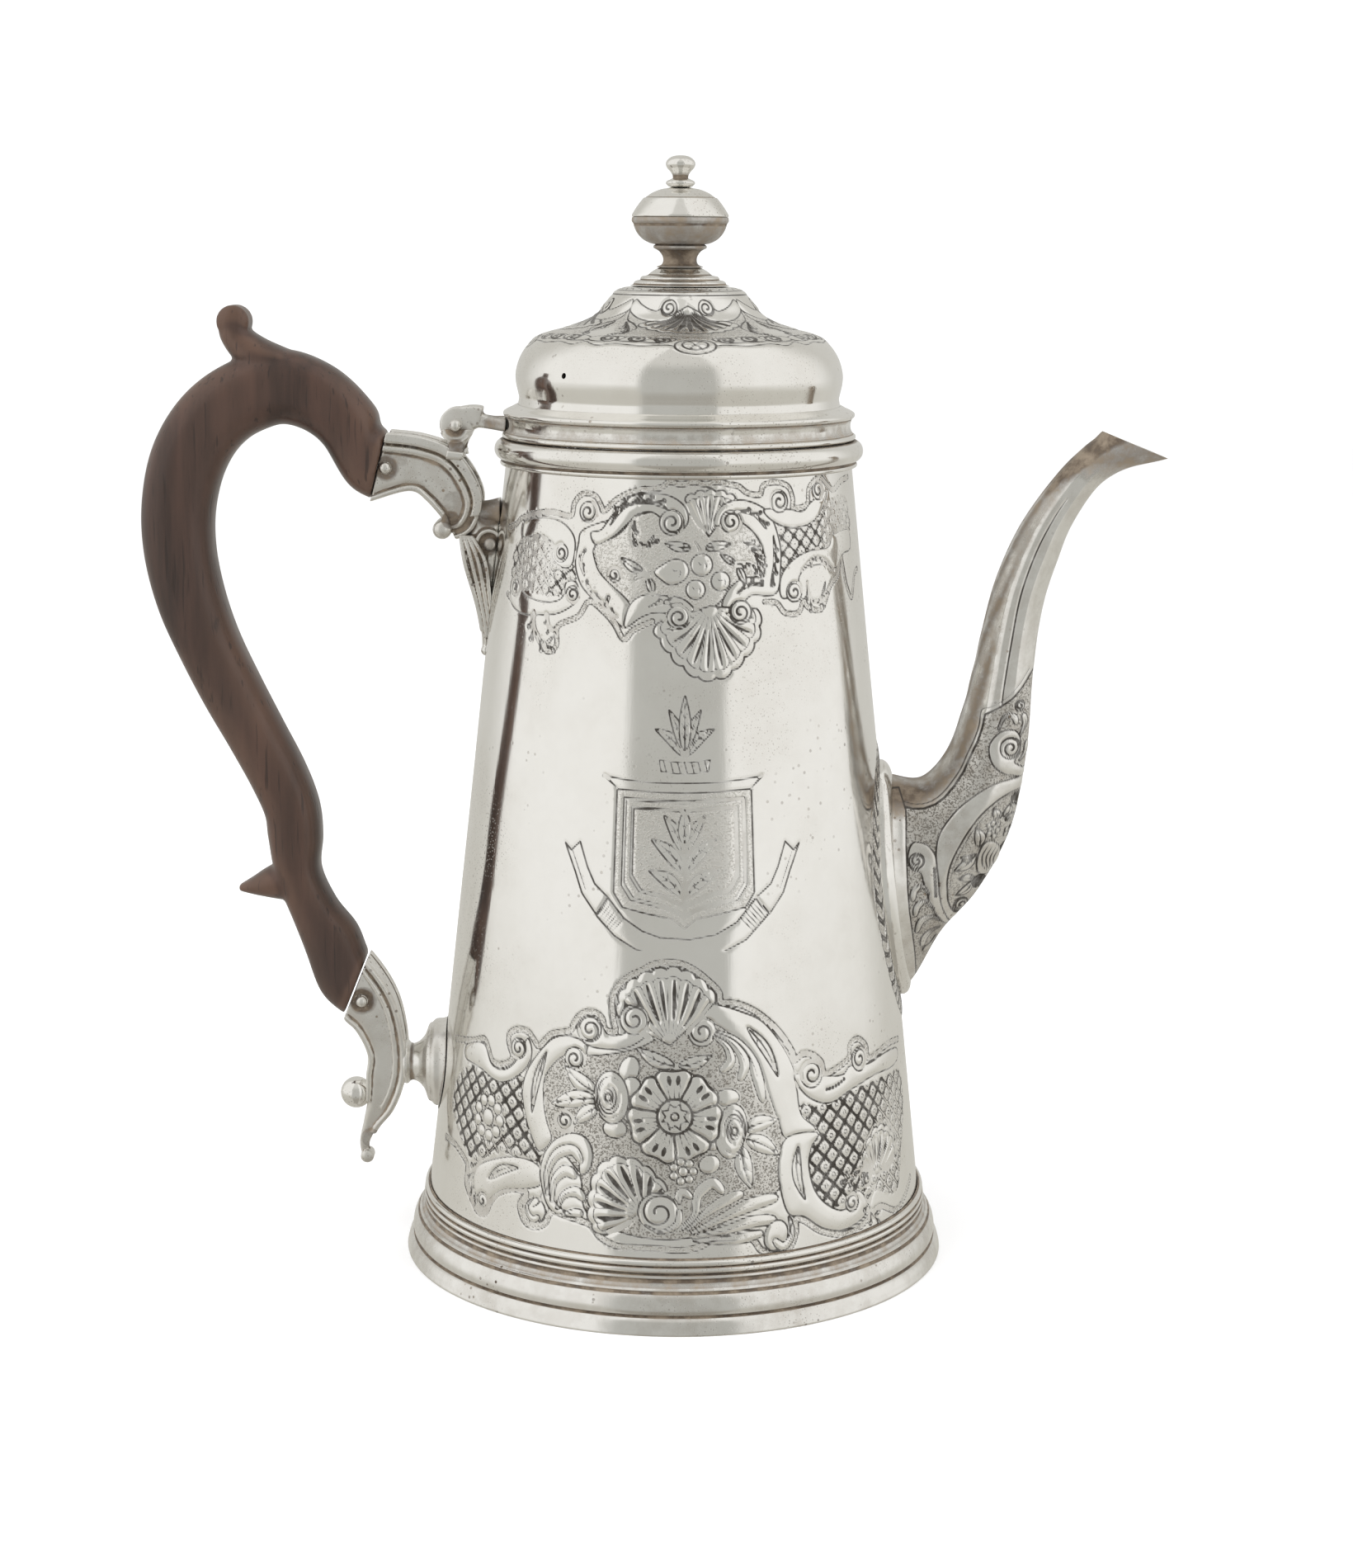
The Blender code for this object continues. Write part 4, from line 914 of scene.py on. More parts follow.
def upper_band(c):
    """The narrower band below the rim: a cartouche of fruit between trellis panels."""
    c.lattice([(-44, 161), (-39.5, 164.6), (-31, 165.8), (-27, 164.5), (-24, 161), (-22.6, 158), (-23, 155),
               (-28.5, 153), (-35, 153.5), (-43, 154)], 2.4, 42.0, 0.42, 0.1)
    c.lattice([(23, 169), (31, 169), (38.5, 172.5), (48.5, 173), (50, 165), (40, 163.5), (33, 162.5),
               (26, 161), (23.5, 157), (23.3, 165)], 2.4, 48.0, 0.42, 0.1)
    c.shape([(-18.5, 164), (-15, 166), (-11, 170), (-4, 172), (6, 171), (13, 171), (17, 168), (19, 161),
             (18, 158), (12, 156), (7, 152), (3, 152), (-4, 154), (-9.8, 152), (-13.5, 156), (-17, 159)],
            -0.05, 1.0, 0.35)
    c.border([(-48, 166), (-44, 167), (-41.5, 168.5), (-36, 170), (-30, 170.7), (-25, 170.2), (-24.2, 173),
              (-22, 175), (-19, 174.7), (-17.5, 173), (-16.5, 171.7), (-13.5, 174.3), (-9, 176.2),
              (-4, 176.8), (-2, 178), (0.5, 177.5), (3.5, 178), (6, 177.5), (8.5, 178), (11.5, 177.4),
              (13.5, 177), (15.5, 175.6), (18.5, 175.2), (19.5, 177), (22.5, 177.6), (26, 176.6),
              (27.2, 174), (27.2, 172), (31.5, 172.6), (32.5, 176), (36.5, 178), (39, 176.5), (42, 175),
              (46.5, 176.5), (52, 177)], 1.1)
    c.border([(-45, 152), (-41, 150.5), (-36.5, 150.5), (-34.5, 149), (-33, 145.5), (-29.2, 141.6),
              (-26.5, 143), (-26.5, 147), (-21.5, 149.5), (-19, 152.8), (-15.5, 150.8), (-13, 148.3),
              (-11, 145.4), (-9, 147.4), (-5.2, 149.3)], 1.1)
    c.border([(18.7, 153), (21.5, 152.6), (23.5, 150.4), (27, 150.2), (28.6, 152.4), (30, 151), (34, 150.4),
              (37.6, 155), (41, 157), (43, 161), (44.5, 155), (47, 151.5), (50, 156), (53, 157)], 1.1)
    upper_band_scrolls(c)
    upper_band_fruit(c)


def upper_band_scrolls(c):
    """The cartouche's frame and the scrolls round the trellis panels."""
    c.shape([(-21.5, 167.5), (-22.5, 164.5), (-23, 160.5), (-21.5, 156.5), (-19, 154), (-15.5, 151.6),
             (-11, 147.8), (-9.8, 152.3), (-13.5, 156), (-16.5, 158.5), (-18, 161), (-18.5, 164),
             (-15, 165.8), (-12.5, 167.4), (-11, 169.5), (-14.5, 170)], 0.12, 1.2)
    for stem in ([(-20.5, 158), (-21.8, 161), (-20.6, 163.5)], [(-16, 152.8), (-18.8, 154.6), (-20, 157)],
                 [(-12.5, 149.8), (-15, 151.6), (-14.5, 154)]):
        c.acanthus(stem, 0.8, 3, -1, 0.08)
    c.shape([(-19.5, 167), (-17, 167.8), (-14.5, 171), (-10.5, 174.8), (-5.5, 175.6), (-1.5, 175),
             (1.5, 172.8), (2, 169.5), (-1, 167.4), (-3.8, 170.6), (-6, 171.8), (-9, 171.2), (-11, 169.3),
             (-14, 166.6), (-18, 164.6)], 0.2, 1.2)
    c.acanthus([(-15, 168.8), (-11.5, 172.8), (-6.5, 173.8), (-2.5, 172.6)], 1.2, 5, 1, 0.15)
    c.acanthus([(-9.5, 170.6), (-9.8, 166.8), (-7, 165), (-5.2, 167)], 1.2, 4, 1, 0.15)
    c.volute(-1.4, 169.7, 2.6, 90, 1.5, -1)
    c.shell((6.6, 166.8), [(1.2, 174.6), (3.5, 175.8), (6, 176.2), (8.5, 176.2), (11, 175.7), (13, 174.4)],
            5, 0.3, (0.2, 0.4, 0.5, 0.3), (0.3, 0.82))
    c.shape([(8, 169), (9, 172.6), (13, 174.2), (17.5, 173.3), (21, 170.7), (23, 165), (23, 160.5),
             (21.5, 154.6), (15.5, 154.4), (13, 151.5), (9.5, 150), (9.4, 153.5), (11.5, 156.6),
             (14.5, 158.2), (18.3, 158.2), (19, 161), (18.5, 164.5), (16.5, 167.6), (13, 169.8)], 0.14, 1.2)
    c.acanthus([(12.5, 172), (17, 171), (19.8, 168)], 0.9, 3, 1, 0.1)
    c.acanthus([(21.5, 166.5), (21.4, 161), (20.2, 156)], 0.9, 4, 1, 0.1)
    c.acanthus([(12.5, 155), (15.5, 156.6), (18.6, 156.4)], 0.8, 3, 1, 0.1)
    c.volute(11.5, 169.8, 2.3, 270, 1.4, 1)
    c.volute(-20.5, 171.3, 2.1, 60, 1.3, -1)
    c.shape(crescent([(19.5, 172), (21.5, 169.6), (26, 168), (32, 168.5), (36.5, 171), (39, 175)],
                     [(26, 171.8), (30, 171.2), (33, 173)]), 0.15, 1.1)
    c.volute(23.4, 173.6, 2.3, 200, 1.4, -1)
    c.volute(35.6, 175.3, 2.0, 300, 1.4, 1)
    c.shape(crescent([(23, 153.5), (22.8, 157.5), (25.5, 160.7), (30.5, 162.7), (38, 163.2), (40.5, 165.6),
            (48.5, 166)], [(27.7, 154.5), (27.7, 157.5), (30.5, 159.4), (36, 159.6), (40.5, 158.5),
            (44, 161), (49, 162)]), 0.14, 1.1)
    c.acanthus([(28.5, 158.6), (32, 161), (36, 160.5), (39.5, 158)], 1.2, 5, -1, 0.12)
    c.acanthus([(30, 156.5), (31, 152.6), (34, 152.4), (36, 156)], 1.2, 4, -1, 0.12)
    c.volute(26.2, 154.6, 2.1, 0, 1.4, 1)
    c.shape([(-40, 168), (-33, 169.3), (-27.5, 168.8), (-23.8, 166), (-23.4, 162), (-24.5, 159.5),
             (-27.5, 159.6), (-29.8, 161.6), (-29.4, 164), (-34, 165.6), (-40, 164.6)], 0.12, 1.1)
    c.volute(-27, 162.4, 1.9, 90, 1.4, 1)
    c.shape([(-43.5, 154.5), (-43, 150.5), (-38, 148.6), (-31, 149), (-26, 150), (-21.8, 153), (-22.4, 156.4),
             (-25, 156.4), (-26, 153), (-30, 151.8), (-36, 152.3), (-40, 154)], 0.12, 1.1)
    c.volute(-23.2, 154, 1.7, 200, 1.3, 1)
    c.volute(-41.6, 153.8, 1.8, 0, 1.3, -1)
    c.acanthus([(-34, 149.5), (-33.4, 145.8), (-30, 143), (-27.6, 144.8)], 1.5, 4, -1, 0.12)
    c.acanthus([(-30, 149.5), (-28.8, 146.4), (-27.2, 146.8)], 0.9, 3, -1, 0.1)
    c.shape([(-11, 147.8), (-10, 152.5), (-7, 154.7), (-3, 154.7), (1, 154), (3.6, 151.5), (3, 148.5),
             (0, 148), (-2, 150.8), (-5, 151), (-7.6, 150)], 0.14, 1.1)
    c.acanthus([(-6, 152.3), (-2.5, 153.2), (0.8, 151.8)], 0.8, 3, 1, 0.1)


def upper_band_fruit(c):
    """The shell under the cartouche, and the fruit and leaves in it."""
    c.shell((6.6, 152.5), [(-4.2, 149), (-4.6, 147), (-2.5, 143.8), (-0.5, 141.2), (1.8, 139.2), (4, 137.6),
                           (7, 137.2), (10, 138), (12.3, 139.8), (14.6, 142.2), (16.8, 145.2), (17.6, 148.4),
                           (17.2, 151.6)], 10, 0.35, (0.2, 0.45, 0.6, 0.3), (0.32, 0.84))
    c.volute(0.2, 150.2, 2.4, 90, 1.5, -1)
    c.volute(13.1, 151.1, 2.4, 90, 1.5, 1)
    c.volute(-13.6, 158.6, 1.5, 0, 1.2, 1, 0.1)
    for base, tip, width, bend, veins, bulge in (((-7.2, 159.4), (-12.2, 162.2), 1.0, 0.3, 2, 0.12),
            ((3, 164.4), (-2.8, 165.4), 1.0, 0.2, 2, 0.12), ((5.6, 164.2), (11.4, 165.2), 1.0, 0.2, 2,
            0.12), ((12.6, 160.8), (9, 163.2), 0.7, 0.0, 1, 0.1), ((12.8, 160.6), (14.5, 156.8), 0.8, 0.0,
            1, 0.1), ((-6.4, 158.4), (-5.2, 154.6), 0.9, 0.2, 2, 0.12)):
        c.leaf(base, tip, width, bend, veins, bulge)
    c.acanthus([(14, 165.6), (16.6, 163.6), (17.8, 160.6), (16.6, 158.8)], 1.5, 5, 1, 0.15)
    c.acanthus([(12.6, 161), (15.4, 161.2), (17.6, 158.9)], 1.0, 4, -1, 0.15)
    c.cut([(-5, 159.5), (-7, 158.9), (-9, 158)], (0.5, 0.7, 0.8), 0.1)
    c.cut([(4.4, 162.6), (4.6, 164.2), (3.6, 165.8)], (0.6, 0.6, 0.4), 0.1)
    c.fruit([(-5, 159.5), (-3.2, 161), (-1, 162.1), (1.3, 161.7), (2.3, 159.8), (1.2, 157.8), (-1.4, 156.8),
             (-3.6, 158)], -0.6, 159.6)
    c.fruit(circle(5, 161, 2.3), 4.8, 161)
    c.fruit(circle(9, 157.6, 2.0), 8.8, 157.6)
    c.fruit(circle(3.7, 155.9, 2.0), 3.5, 155.9)


def shield(c):
    """A plain shield with a sprig of leaves, a sprig above it and an empty ribbon below."""
    def outline(inset):
        left, right, top, foot = -13.0 + inset, 16.6 - inset, 114.2 - inset, 91.0 + inset
        waist = (top + foot) / 2.0
        return [(left, top), (1.8, top - 0.5), (right, top), (right, waist), (right, foot + 1.5),
                (right - 2.0, foot - 1.5), (right - 7.0, foot - 2.6), (4.2, foot - 3.6),
                (1.8, foot - 5.6 + inset * 0.3), (-0.6, foot - 3.6), (left + 7.0, foot - 2.6),
                (left + 2.0, foot - 1.5), (left, foot + 1.5), (left, waist)]

    c.cut([(-16, 116.8), (-8, 116), (1.8, 115.8), (11, 116), (19.3, 116.8)], (0.45, 0.35, 0.35, 0.45), 0.08)
    for ends in ([(-16, 116.8), (-13.2, 114.6)], [(19.3, 116.8), (16.8, 114.6)]):
        c.cut(ends, (0.6, 0.35), 0.08)
    for inset, ground, line in ((0.0, 0.25, 0.42), (1.6, 0.0, 0.32), (2.2, 0.22, 0.26), (3.4, 0.0, 0.3),
                                (3.9, 0.34, 0.3)):
        c.shape(np.array(outline(inset)), 0.0, 1.0, ground, line, False)
    middle = 1.8
    for k in (-1.0, 1.0):
        for root, low, out, high, width, bend, bulge in (
                (0.3, 92, 7.4, 97.5, 1.5, 0.9, 0.1), (0.3, 97, 7.0, 104, 1.5, 0.9, 0.1),
                (0.3, 101, 4.4, 109, 1.3, 0.7, 0.1), (0.4, 121.5, 6.6, 127, 1.2, 0.9, 0.08),
                (0.2, 122, 3.6, 131, 1.1, 0.5, 0.08)):
            c.leaf((middle + root * k, low), (middle + out * k, high), width, bend * k, 3, bulge)
    c.cut([(middle, 89), (middle + 0.1, 95), (middle, 104)], (0.3, 0.5, 0.4), 0.08)
    c.leaf((middle, 102.5), (middle, 110.4), 1.4, 0.0, 3, 0.1)
    c.leaf((middle, 122), (middle, 134), 1.3, 0.0, 4, 0.08)
    c.shape([(-3.8, 120.6), (-3.4, 118.2), (1.8, 117.6), (7, 118.2), (7.4, 120.6), (1.8, 120)],
            0.06, 0.6, 0.0, 0.3, False)
    for k in range(7):
        c.cut([(-2.8 + 1.5 * k, 120.2), (-2.2 + 1.5 * k, 118)], (0.3, 0.3), 0.04)
    ribbon(c)


def ribbon(c):
    """An empty ribbon that loops under the shield, with its two ends turned up beside it."""
    lower = [(-16.6, 87.4), (-12.5, 83.4), (-8, 80.8), (-3, 79.3), (3, 79), (9, 80), (14.5, 82.6),
             (19.8, 87.8)]
    upper = [(-14.2, 91.4), (-10.6, 87.2), (-6.8, 84.7), (-3, 83.4), (3, 83.1), (8.2, 84), (12.6, 86.4),
             (17, 91.4)]
    for k, ends in ((-1.0, (-16.6, -14.2)), (1.0, (19.8, 17.0))):
        out = ends[0] + 8.0 * k
        tail = [(ends[0], 87.6), (ends[0] + 3.4 * k, 91.8), (ends[0] + 5.2 * k, 96.2), (out, 102),
                (out - 1.6 * k, 100.6), (out - 3.6 * k, 102.6), (ends[0] + 2.4 * k, 97.4),
                (ends[0] + 0.6 * k, 94), (ends[1], 91.4)]
        c.shape(np.array(tail), 0.04, 0.8, 0.0, 0.42, False)
        fold = [(ends[0] + 2.6 * k, 92.6), (ends[0] + 4.4 * k, 96.8), (ends[0] + 6.2 * k, 100.8)]
        c.cut(fold, (0.15, 0.3, 0.15), 0.05)
    c.shape(np.array(lower + upper[::-1]), 0.04, 0.8, 0.0, 0.42, False)
    for k in range(7):
        for hatch in ([(-16.2 + 0.55 * k, 87.4 - 0.5 * k), (-14 + 0.55 * k, 90.8 - 0.62 * k)],
                      [(19.3 - 0.55 * k, 87.8 - 0.55 * k), (16.9 - 0.55 * k, 90.8 - 0.62 * k)]):
            c.cut(hatch, (0.15, 0.3, 0.15), 0.04)


LOWER_BAND_TOP = 80.5
UPPER_BAND_BOTTOM = 135.5
REFERENCE_RADII = (52.6, 46.5, 40.4)   # radii at which each zone is laid out flat, from the foot up


def body_chasing(theta, z):
    """Chasing on half of the body, from the handle round the front to the spout."""
    zones = (z <= LOWER_BAND_TOP, (z > LOWER_BAND_TOP) & (z < UPPER_BAND_BOTTOM), z >= UPPER_BAND_BOTTOM)
    parts = []
    for zone, radius, draw in zip(zones, REFERENCE_RADII, (lower_band, shield, upper_band)):
        x, height = np.meshgrid(theta * radius, z[zone])
        canvas = Canvas(x, height)
        draw(canvas)
        parts.append(canvas.fields())
    fields = {label: np.vstack([part[label] for part in parts[::-1]]) for label in parts[0]}
    leaf_border(theta, z, fields)
    fields["tarnish_and_shade"] = np.clip(0.25 * fields["matte"], 0.0, 1.0)
    return fields


BORDER_OVAL = (18.4, 29.0)   # half axes of the middle of the laurel border
BORDER_HALF = 2.7
LEAF_LENGTH = 3.4


def leaf_border(theta, z, fields):
    """Overlapping laurel leaves punched round the spout's collar."""
    side, height = np.meshgrid((theta - math.pi / 2.0), z)
    side = side * cone_radius(height)
    u, v = side / BORDER_OVAL[0], (height - SPOUT_Z) / BORDER_OVAL[1]
    local = (BORDER_OVAL[0] * np.abs(u) + BORDER_OVAL[1] * np.abs(v)) / (np.abs(u) + np.abs(v) + 1e-9)
    off = (np.hypot(u, v) - 1.0) * local
    arc = np.arctan2(v, u) * 24.0 + np.abs(off + 0.4) * 0.8
    leaf = np.abs((arc / LEAF_LENGTH) % 1.0 - 0.5) * LEAF_LENGTH
    strip = np.abs(off) < BORDER_HALF
    edge = np.abs(np.abs(off) - BORDER_HALF + 0.2) - 0.2
    vein = np.where(leaf < 1.0, np.abs(off + 0.4) - 0.12, 1.0)
    fields["matte"][strip] = 0.8
    fields["line_mm"][strip] = np.minimum(np.minimum(np.abs(leaf - 0.35) - 0.3, edge), vein)[strip]
    swell = np.cos(np.clip(leaf, 0.0, LEAF_LENGTH / 2.0) * 1.2) * np.cos(off * 0.5)
    fields["height"][strip] = 0.30 * swell[strip]


LID_REFERENCE = 22.0            # radius at which the lid's band is laid out flat
LID_BAND_TOP = (14.75, 215.3)   # radius and height of its upper edge
LID_MOTIF_TURN = 6.0            # degrees from the front to the middle of a shell


def lid_chasing(theta, outer):
    """A band of shells between scrolls round the waist of the dome, four times round."""
    distance = travelled(outer)
    start = distance[np.hypot(*(outer - LID_BAND_TOP).T).argmin()]
    quarter = (theta - math.radians(LID_MOTIF_TURN) + math.pi / 4.0) % (math.pi / 2.0) - math.pi / 4.0
    canvas = Canvas(*np.meshgrid(quarter * LID_REFERENCE, distance - start))
    lid_band(canvas)
    fields = canvas.fields()
    fields["tarnish_and_shade"] = 0.3 * fields["matte"]
    return fields


def lid_band(c):
    """A quarter of the lid's band: a shell between scrolls on punched ground, under small arches."""
    c.shape([(-18, -4.5), (-14, -6.2), (-7, -6.8), (-3, -5.6), (3, -5.6), (7, -6.8), (14, -6.2), (18, -4.5),
             (17, -9), (15, -13), (11, -17), (5, -18.5), (-5, -18.5), (-11, -17), (-15, -13), (-17, -9)],
            -0.05, 1.0, 0.5, 0.0)
    for z, phase in ((0.4, 0.0), (1.6, 0.5)):
        c.cut([(-18, z), (-9, z + 0.2 * phase), (0, z), (9, z + 0.2 * phase), (18, z)],
              (0.4, 0.35, 0.4), 0.08)
    for k in range(8):
        left = -17.3 + 4.33 * k
        c.cut([(left, 2.2), (left + 1.1, 3.0), (left + 2.2, 3.1), (left + 3.3, 3.0), (left + 4.33, 2.2)],
              (0.3, 0.45, 0.3), 0.08)
    c.shell((0, -2.4), [(-12, -8.4), (-9.5, -10.2), (-6.5, -12), (-3, -13.2), (0, -13.6), (3, -13.2),
            (6.5, -12), (9.5, -10.2), (12, -8.4)], 9, 0.4, (0.35, 0.8, 1.2, 0.6), (0.18, 0.86))
    for k in (-1.0, 1.0):
        c.shape(np.array([(3.0 * k, -3.0), (3.6 * k, -4.8), (5.4 * k, -6.6), (8.4 * k, -7),
                (11.5 * k, -6.6), (14.6 * k, -5.2), (17.3 * k, -3.2), (16.6 * k, -0.8), (13.6 * k, -2.2),
                (10.6 * k, -3.4), (8.2 * k, -3.6), (6.4 * k, -1.4), (4.2 * k, -1.4)]), 0.12, 1.2, 0.0, 0.4)
        c.volute(5.3 * k, -2.9, 2.2, 90.0, 1.5, -k, 0.2)
        c.cut([(17.3 * k, -3.0), (15.8 * k, -6.4), (13 * k, -8.2), (11.4 * k, -10.2), (12.2 * k, -12)],
              (0.3, 0.5, 0.3))
        c.acanthus([(15.6 * k, -7.4), (13.2 * k, -10.6), (12.8 * k, -13.4), (14.8 * k, -14.6)],
                   1.5, 4, k, 0.15)
        for x, z, radius, turn in ((5.5, -18, 1.6, -1.0), (9.6, -17.6, 1.7, 1.0), (14.2, -17.6, 1.9, -1.0)):
            c.shape(circle(x * k, z, radius * 1.7, radius * 0.8, lean=-8.0 * k), 0.12, 0.8, 0.0, 0.4)
            c.volute((x - 0.6) * k, z, radius * 0.75, 180.0 if k > 0.0 else 0.0, 1.2, turn * k, 0.1)
        c.cut([(2 * k, -21), (4 * k, -20), (8 * k, -20.3), (12 * k, -19.8), (15 * k, -20.4),
               (17.3 * k, -19.2)], (0.35, 0.4, 0.3))
    c.shape(circle(0, -20.2, 3.0, 2.2), 0.05, 1.0, 0.2, 0.4)
    c.shape(circle(0, -19.9, 1.9, 1.4), 0.15, 0.8, 0.0, 0.4)
    for end in circle(0, -19.9, 1.5, 1.1, sides=6):
        c.cut([(0, -19.9), end], (0.2, 0.3), 0.05)


STRIP_HALF = 0.22   # half width of the plain strip down the front, as a share of the spout's half depth
STRIP_LINE = 0.26


def spout_chasing(rings):
    """The swollen root of the spout: an oval of fruit and flowers among scrolls. The same on both sides."""
    x, z = rings[:, :, 0], rings[:, :, 2]
    canvas = Canvas(x, z)
    spout_scrolls(canvas)
    spout_oval(canvas)
    fields = canvas.fields()
    turn = (math.tau * (np.arange(rings.shape[1]) + 0.5) / rings.shape[1])[None]
    darkening = spout_darkening(x, z, turn)
    fields["tarnish_and_shade"] = np.clip(darkening * (1.0 - fields["matte"]) + 0.40 * fields["matte"], 0.0, 1.0)
    side = np.abs(rings[:, :, 1])
    depth = side.max(1)[:, None]
    from_middle = side / depth
    front = np.cos(turn) < 0.0
    off_strip = np.clip(np.where(front, from_middle - STRIP_HALF, 1.0) * 9.0, 0.0, 1.0)
    edging = np.abs(from_middle - STRIP_LINE) * depth - 0.18
    fields["height"] = fields["height"] * off_strip
    fields["matte"] = fields["matte"] * off_strip
    fields["line_mm"] = np.where(off_strip < 0.5, 2.0, fields["line_mm"])
    lined = (z < 124.0) & front
    fields["line_mm"] = np.where(lined, np.minimum(fields["line_mm"], edging), fields["line_mm"])
    return fields


def spout_darkening(x, z, turn):
    """Darkening of the spout: uneven on its inner side, strong at the tip, and painted shade in the notch
    above the root, between spout and body.
    """
    inner_side = np.clip((np.cos(turn) - 0.25) * 2.5, 0.0, 1.0) * np.clip((z - 101.0) / 6.0, 0.0, 1.0)
    wave = 0.5 + 0.5 * np.sin(z * 0.22 + 1.5 * np.sin(z * 0.13) + 9.0 * turn)
    tip = np.clip((z - 172.0) / 8.0, 0.0, 1.0)
    # Painted shade in the notch where the top of the spout's root meets the body.
    notch = np.exp(-((z - 104.0) / 4.0) ** 2) * np.clip((60.0 - x) / 8.0, 0.0, 1.0)
    return inner_side * (0.40 + 0.25 * wave) + 0.62 * tip + 0.5 * notch + 0.16


def spout_scrolls(c):
    """The plain neck's wavy lower edge, the scrolls beside the oval and a long line up the neck."""
    c.shape([(48, 104), (50, 104), (52.5, 103.3), (55, 103.4), (57.5, 104.4), (59.5, 106), (61.5, 108.5),
             (63.5, 111.7), (65, 115.3), (66.5, 118.6), (67.5, 121.6), (68, 124.5), (68, 124.5),
             (69.5, 125.3), (71.5, 126.3), (74, 128), (76.5, 130.6), (79, 134), (88, 134), (88, 50),
             (48, 50)], -0.10, 0.8, 1.0, 0.5, False)
    c.cut([(48, 105), (50, 105), (52.5, 104.3), (55, 104.4), (57, 105.2), (59, 106.8), (61, 109.3),
           (62.9, 112.3), (64.4, 115.8), (65.8, 119), (66.8, 122), (67.4, 125.4), (69.2, 126.2),
           (71.2, 127.2), (73.4, 128.8), (75.8, 131.4), (78, 134.4)], (0.2, 0.3, 0.2), 0.06)
    c.shape([(48, 50), (54.8, 62), (53.8, 70), (53, 75), (52, 81), (51.5, 86), (51, 95.5), (51, 103),
             (49.6, 107.5), (44, 107.5), (44, 50)], 0.12, 0.5, 0.0, 0.4, False)
    c.shape([(78, 109.8), (75, 110.8), (72.5, 111.5), (70, 113.5), (69, 116.5), (69.5, 118.7), (71.4, 120.6),
             (73.6, 121.2), (75.4, 120.6), (76.4, 118.6), (76.3, 115.6), (75, 113.9), (77, 112.4), (80, 111)],
            0.22, 1.2)
    c.volute(73.9, 117.1, 2.4, 150.0, 1.6, -1.0)
    for stem in ([(71.0, 121.2), (72.4, 124.0), (74.6, 124.0), (75.2, 122.2)], [(76.2, 119.6),
            (77.4, 122.4), (76.8, 124.6)], [(76.2, 113.8), (77.8, 115.6), (78.2, 118.4)]):
        c.frond(stem, 1.4, 0.2)
    c.volute(76, 126.4, 1.2, 0.0, 1.2, 1.0, 0.2)
    c.shape([(58, 91), (57.4, 93.6), (55.6, 95.7), (53, 96.3), (51.8, 95), (51.4, 92.4), (52.4, 90.2),
             (54.2, 89.6), (55, 87.5), (56, 84.5), (57, 81.5), (59, 78.5), (61, 76.3), (63, 77), (61, 79.6),
             (59.5, 82.5), (58.6, 86)], 0.2, 1.0)
    c.volute(53.4, 92.2, 1.7, 270.0, 1.5, 1.0)
    for k in range(9):
        c.shape(circle(57.4 + 0.06 * k, 90.4 - 0.8 * k, 0.26, sides=10), 0.15, 0.3, width=0.4)
    for stem in ([(58.8, 73.8), (57.6, 71.6), (55.6, 70.6)], [(59.6, 75.8), (57.6, 75.6), (55.8, 74.0),
            (55.4, 71.8)], [(59.4, 77.6), (57.2, 79.0), (54.8, 78.2), (53.8, 75.4)], [(57.6, 80.8),
            (55.8, 82.8), (53.8, 81.8), (53.4, 79.4)], [(56.4, 84.4), (54.8, 86.4), (53.0, 85.4),
            (52.8, 83.0)]):
        c.frond(stem, 1.5, 0.22)
    c.cut([(85, 172), (82.3, 167.8), (78.6, 160.4), (75.4, 150.8), (73.6, 140.3), (72.2, 130.8), (71.8, 127)],
          (0.1, 0.34, 0.42, 0.4, 0.3), 0.16)


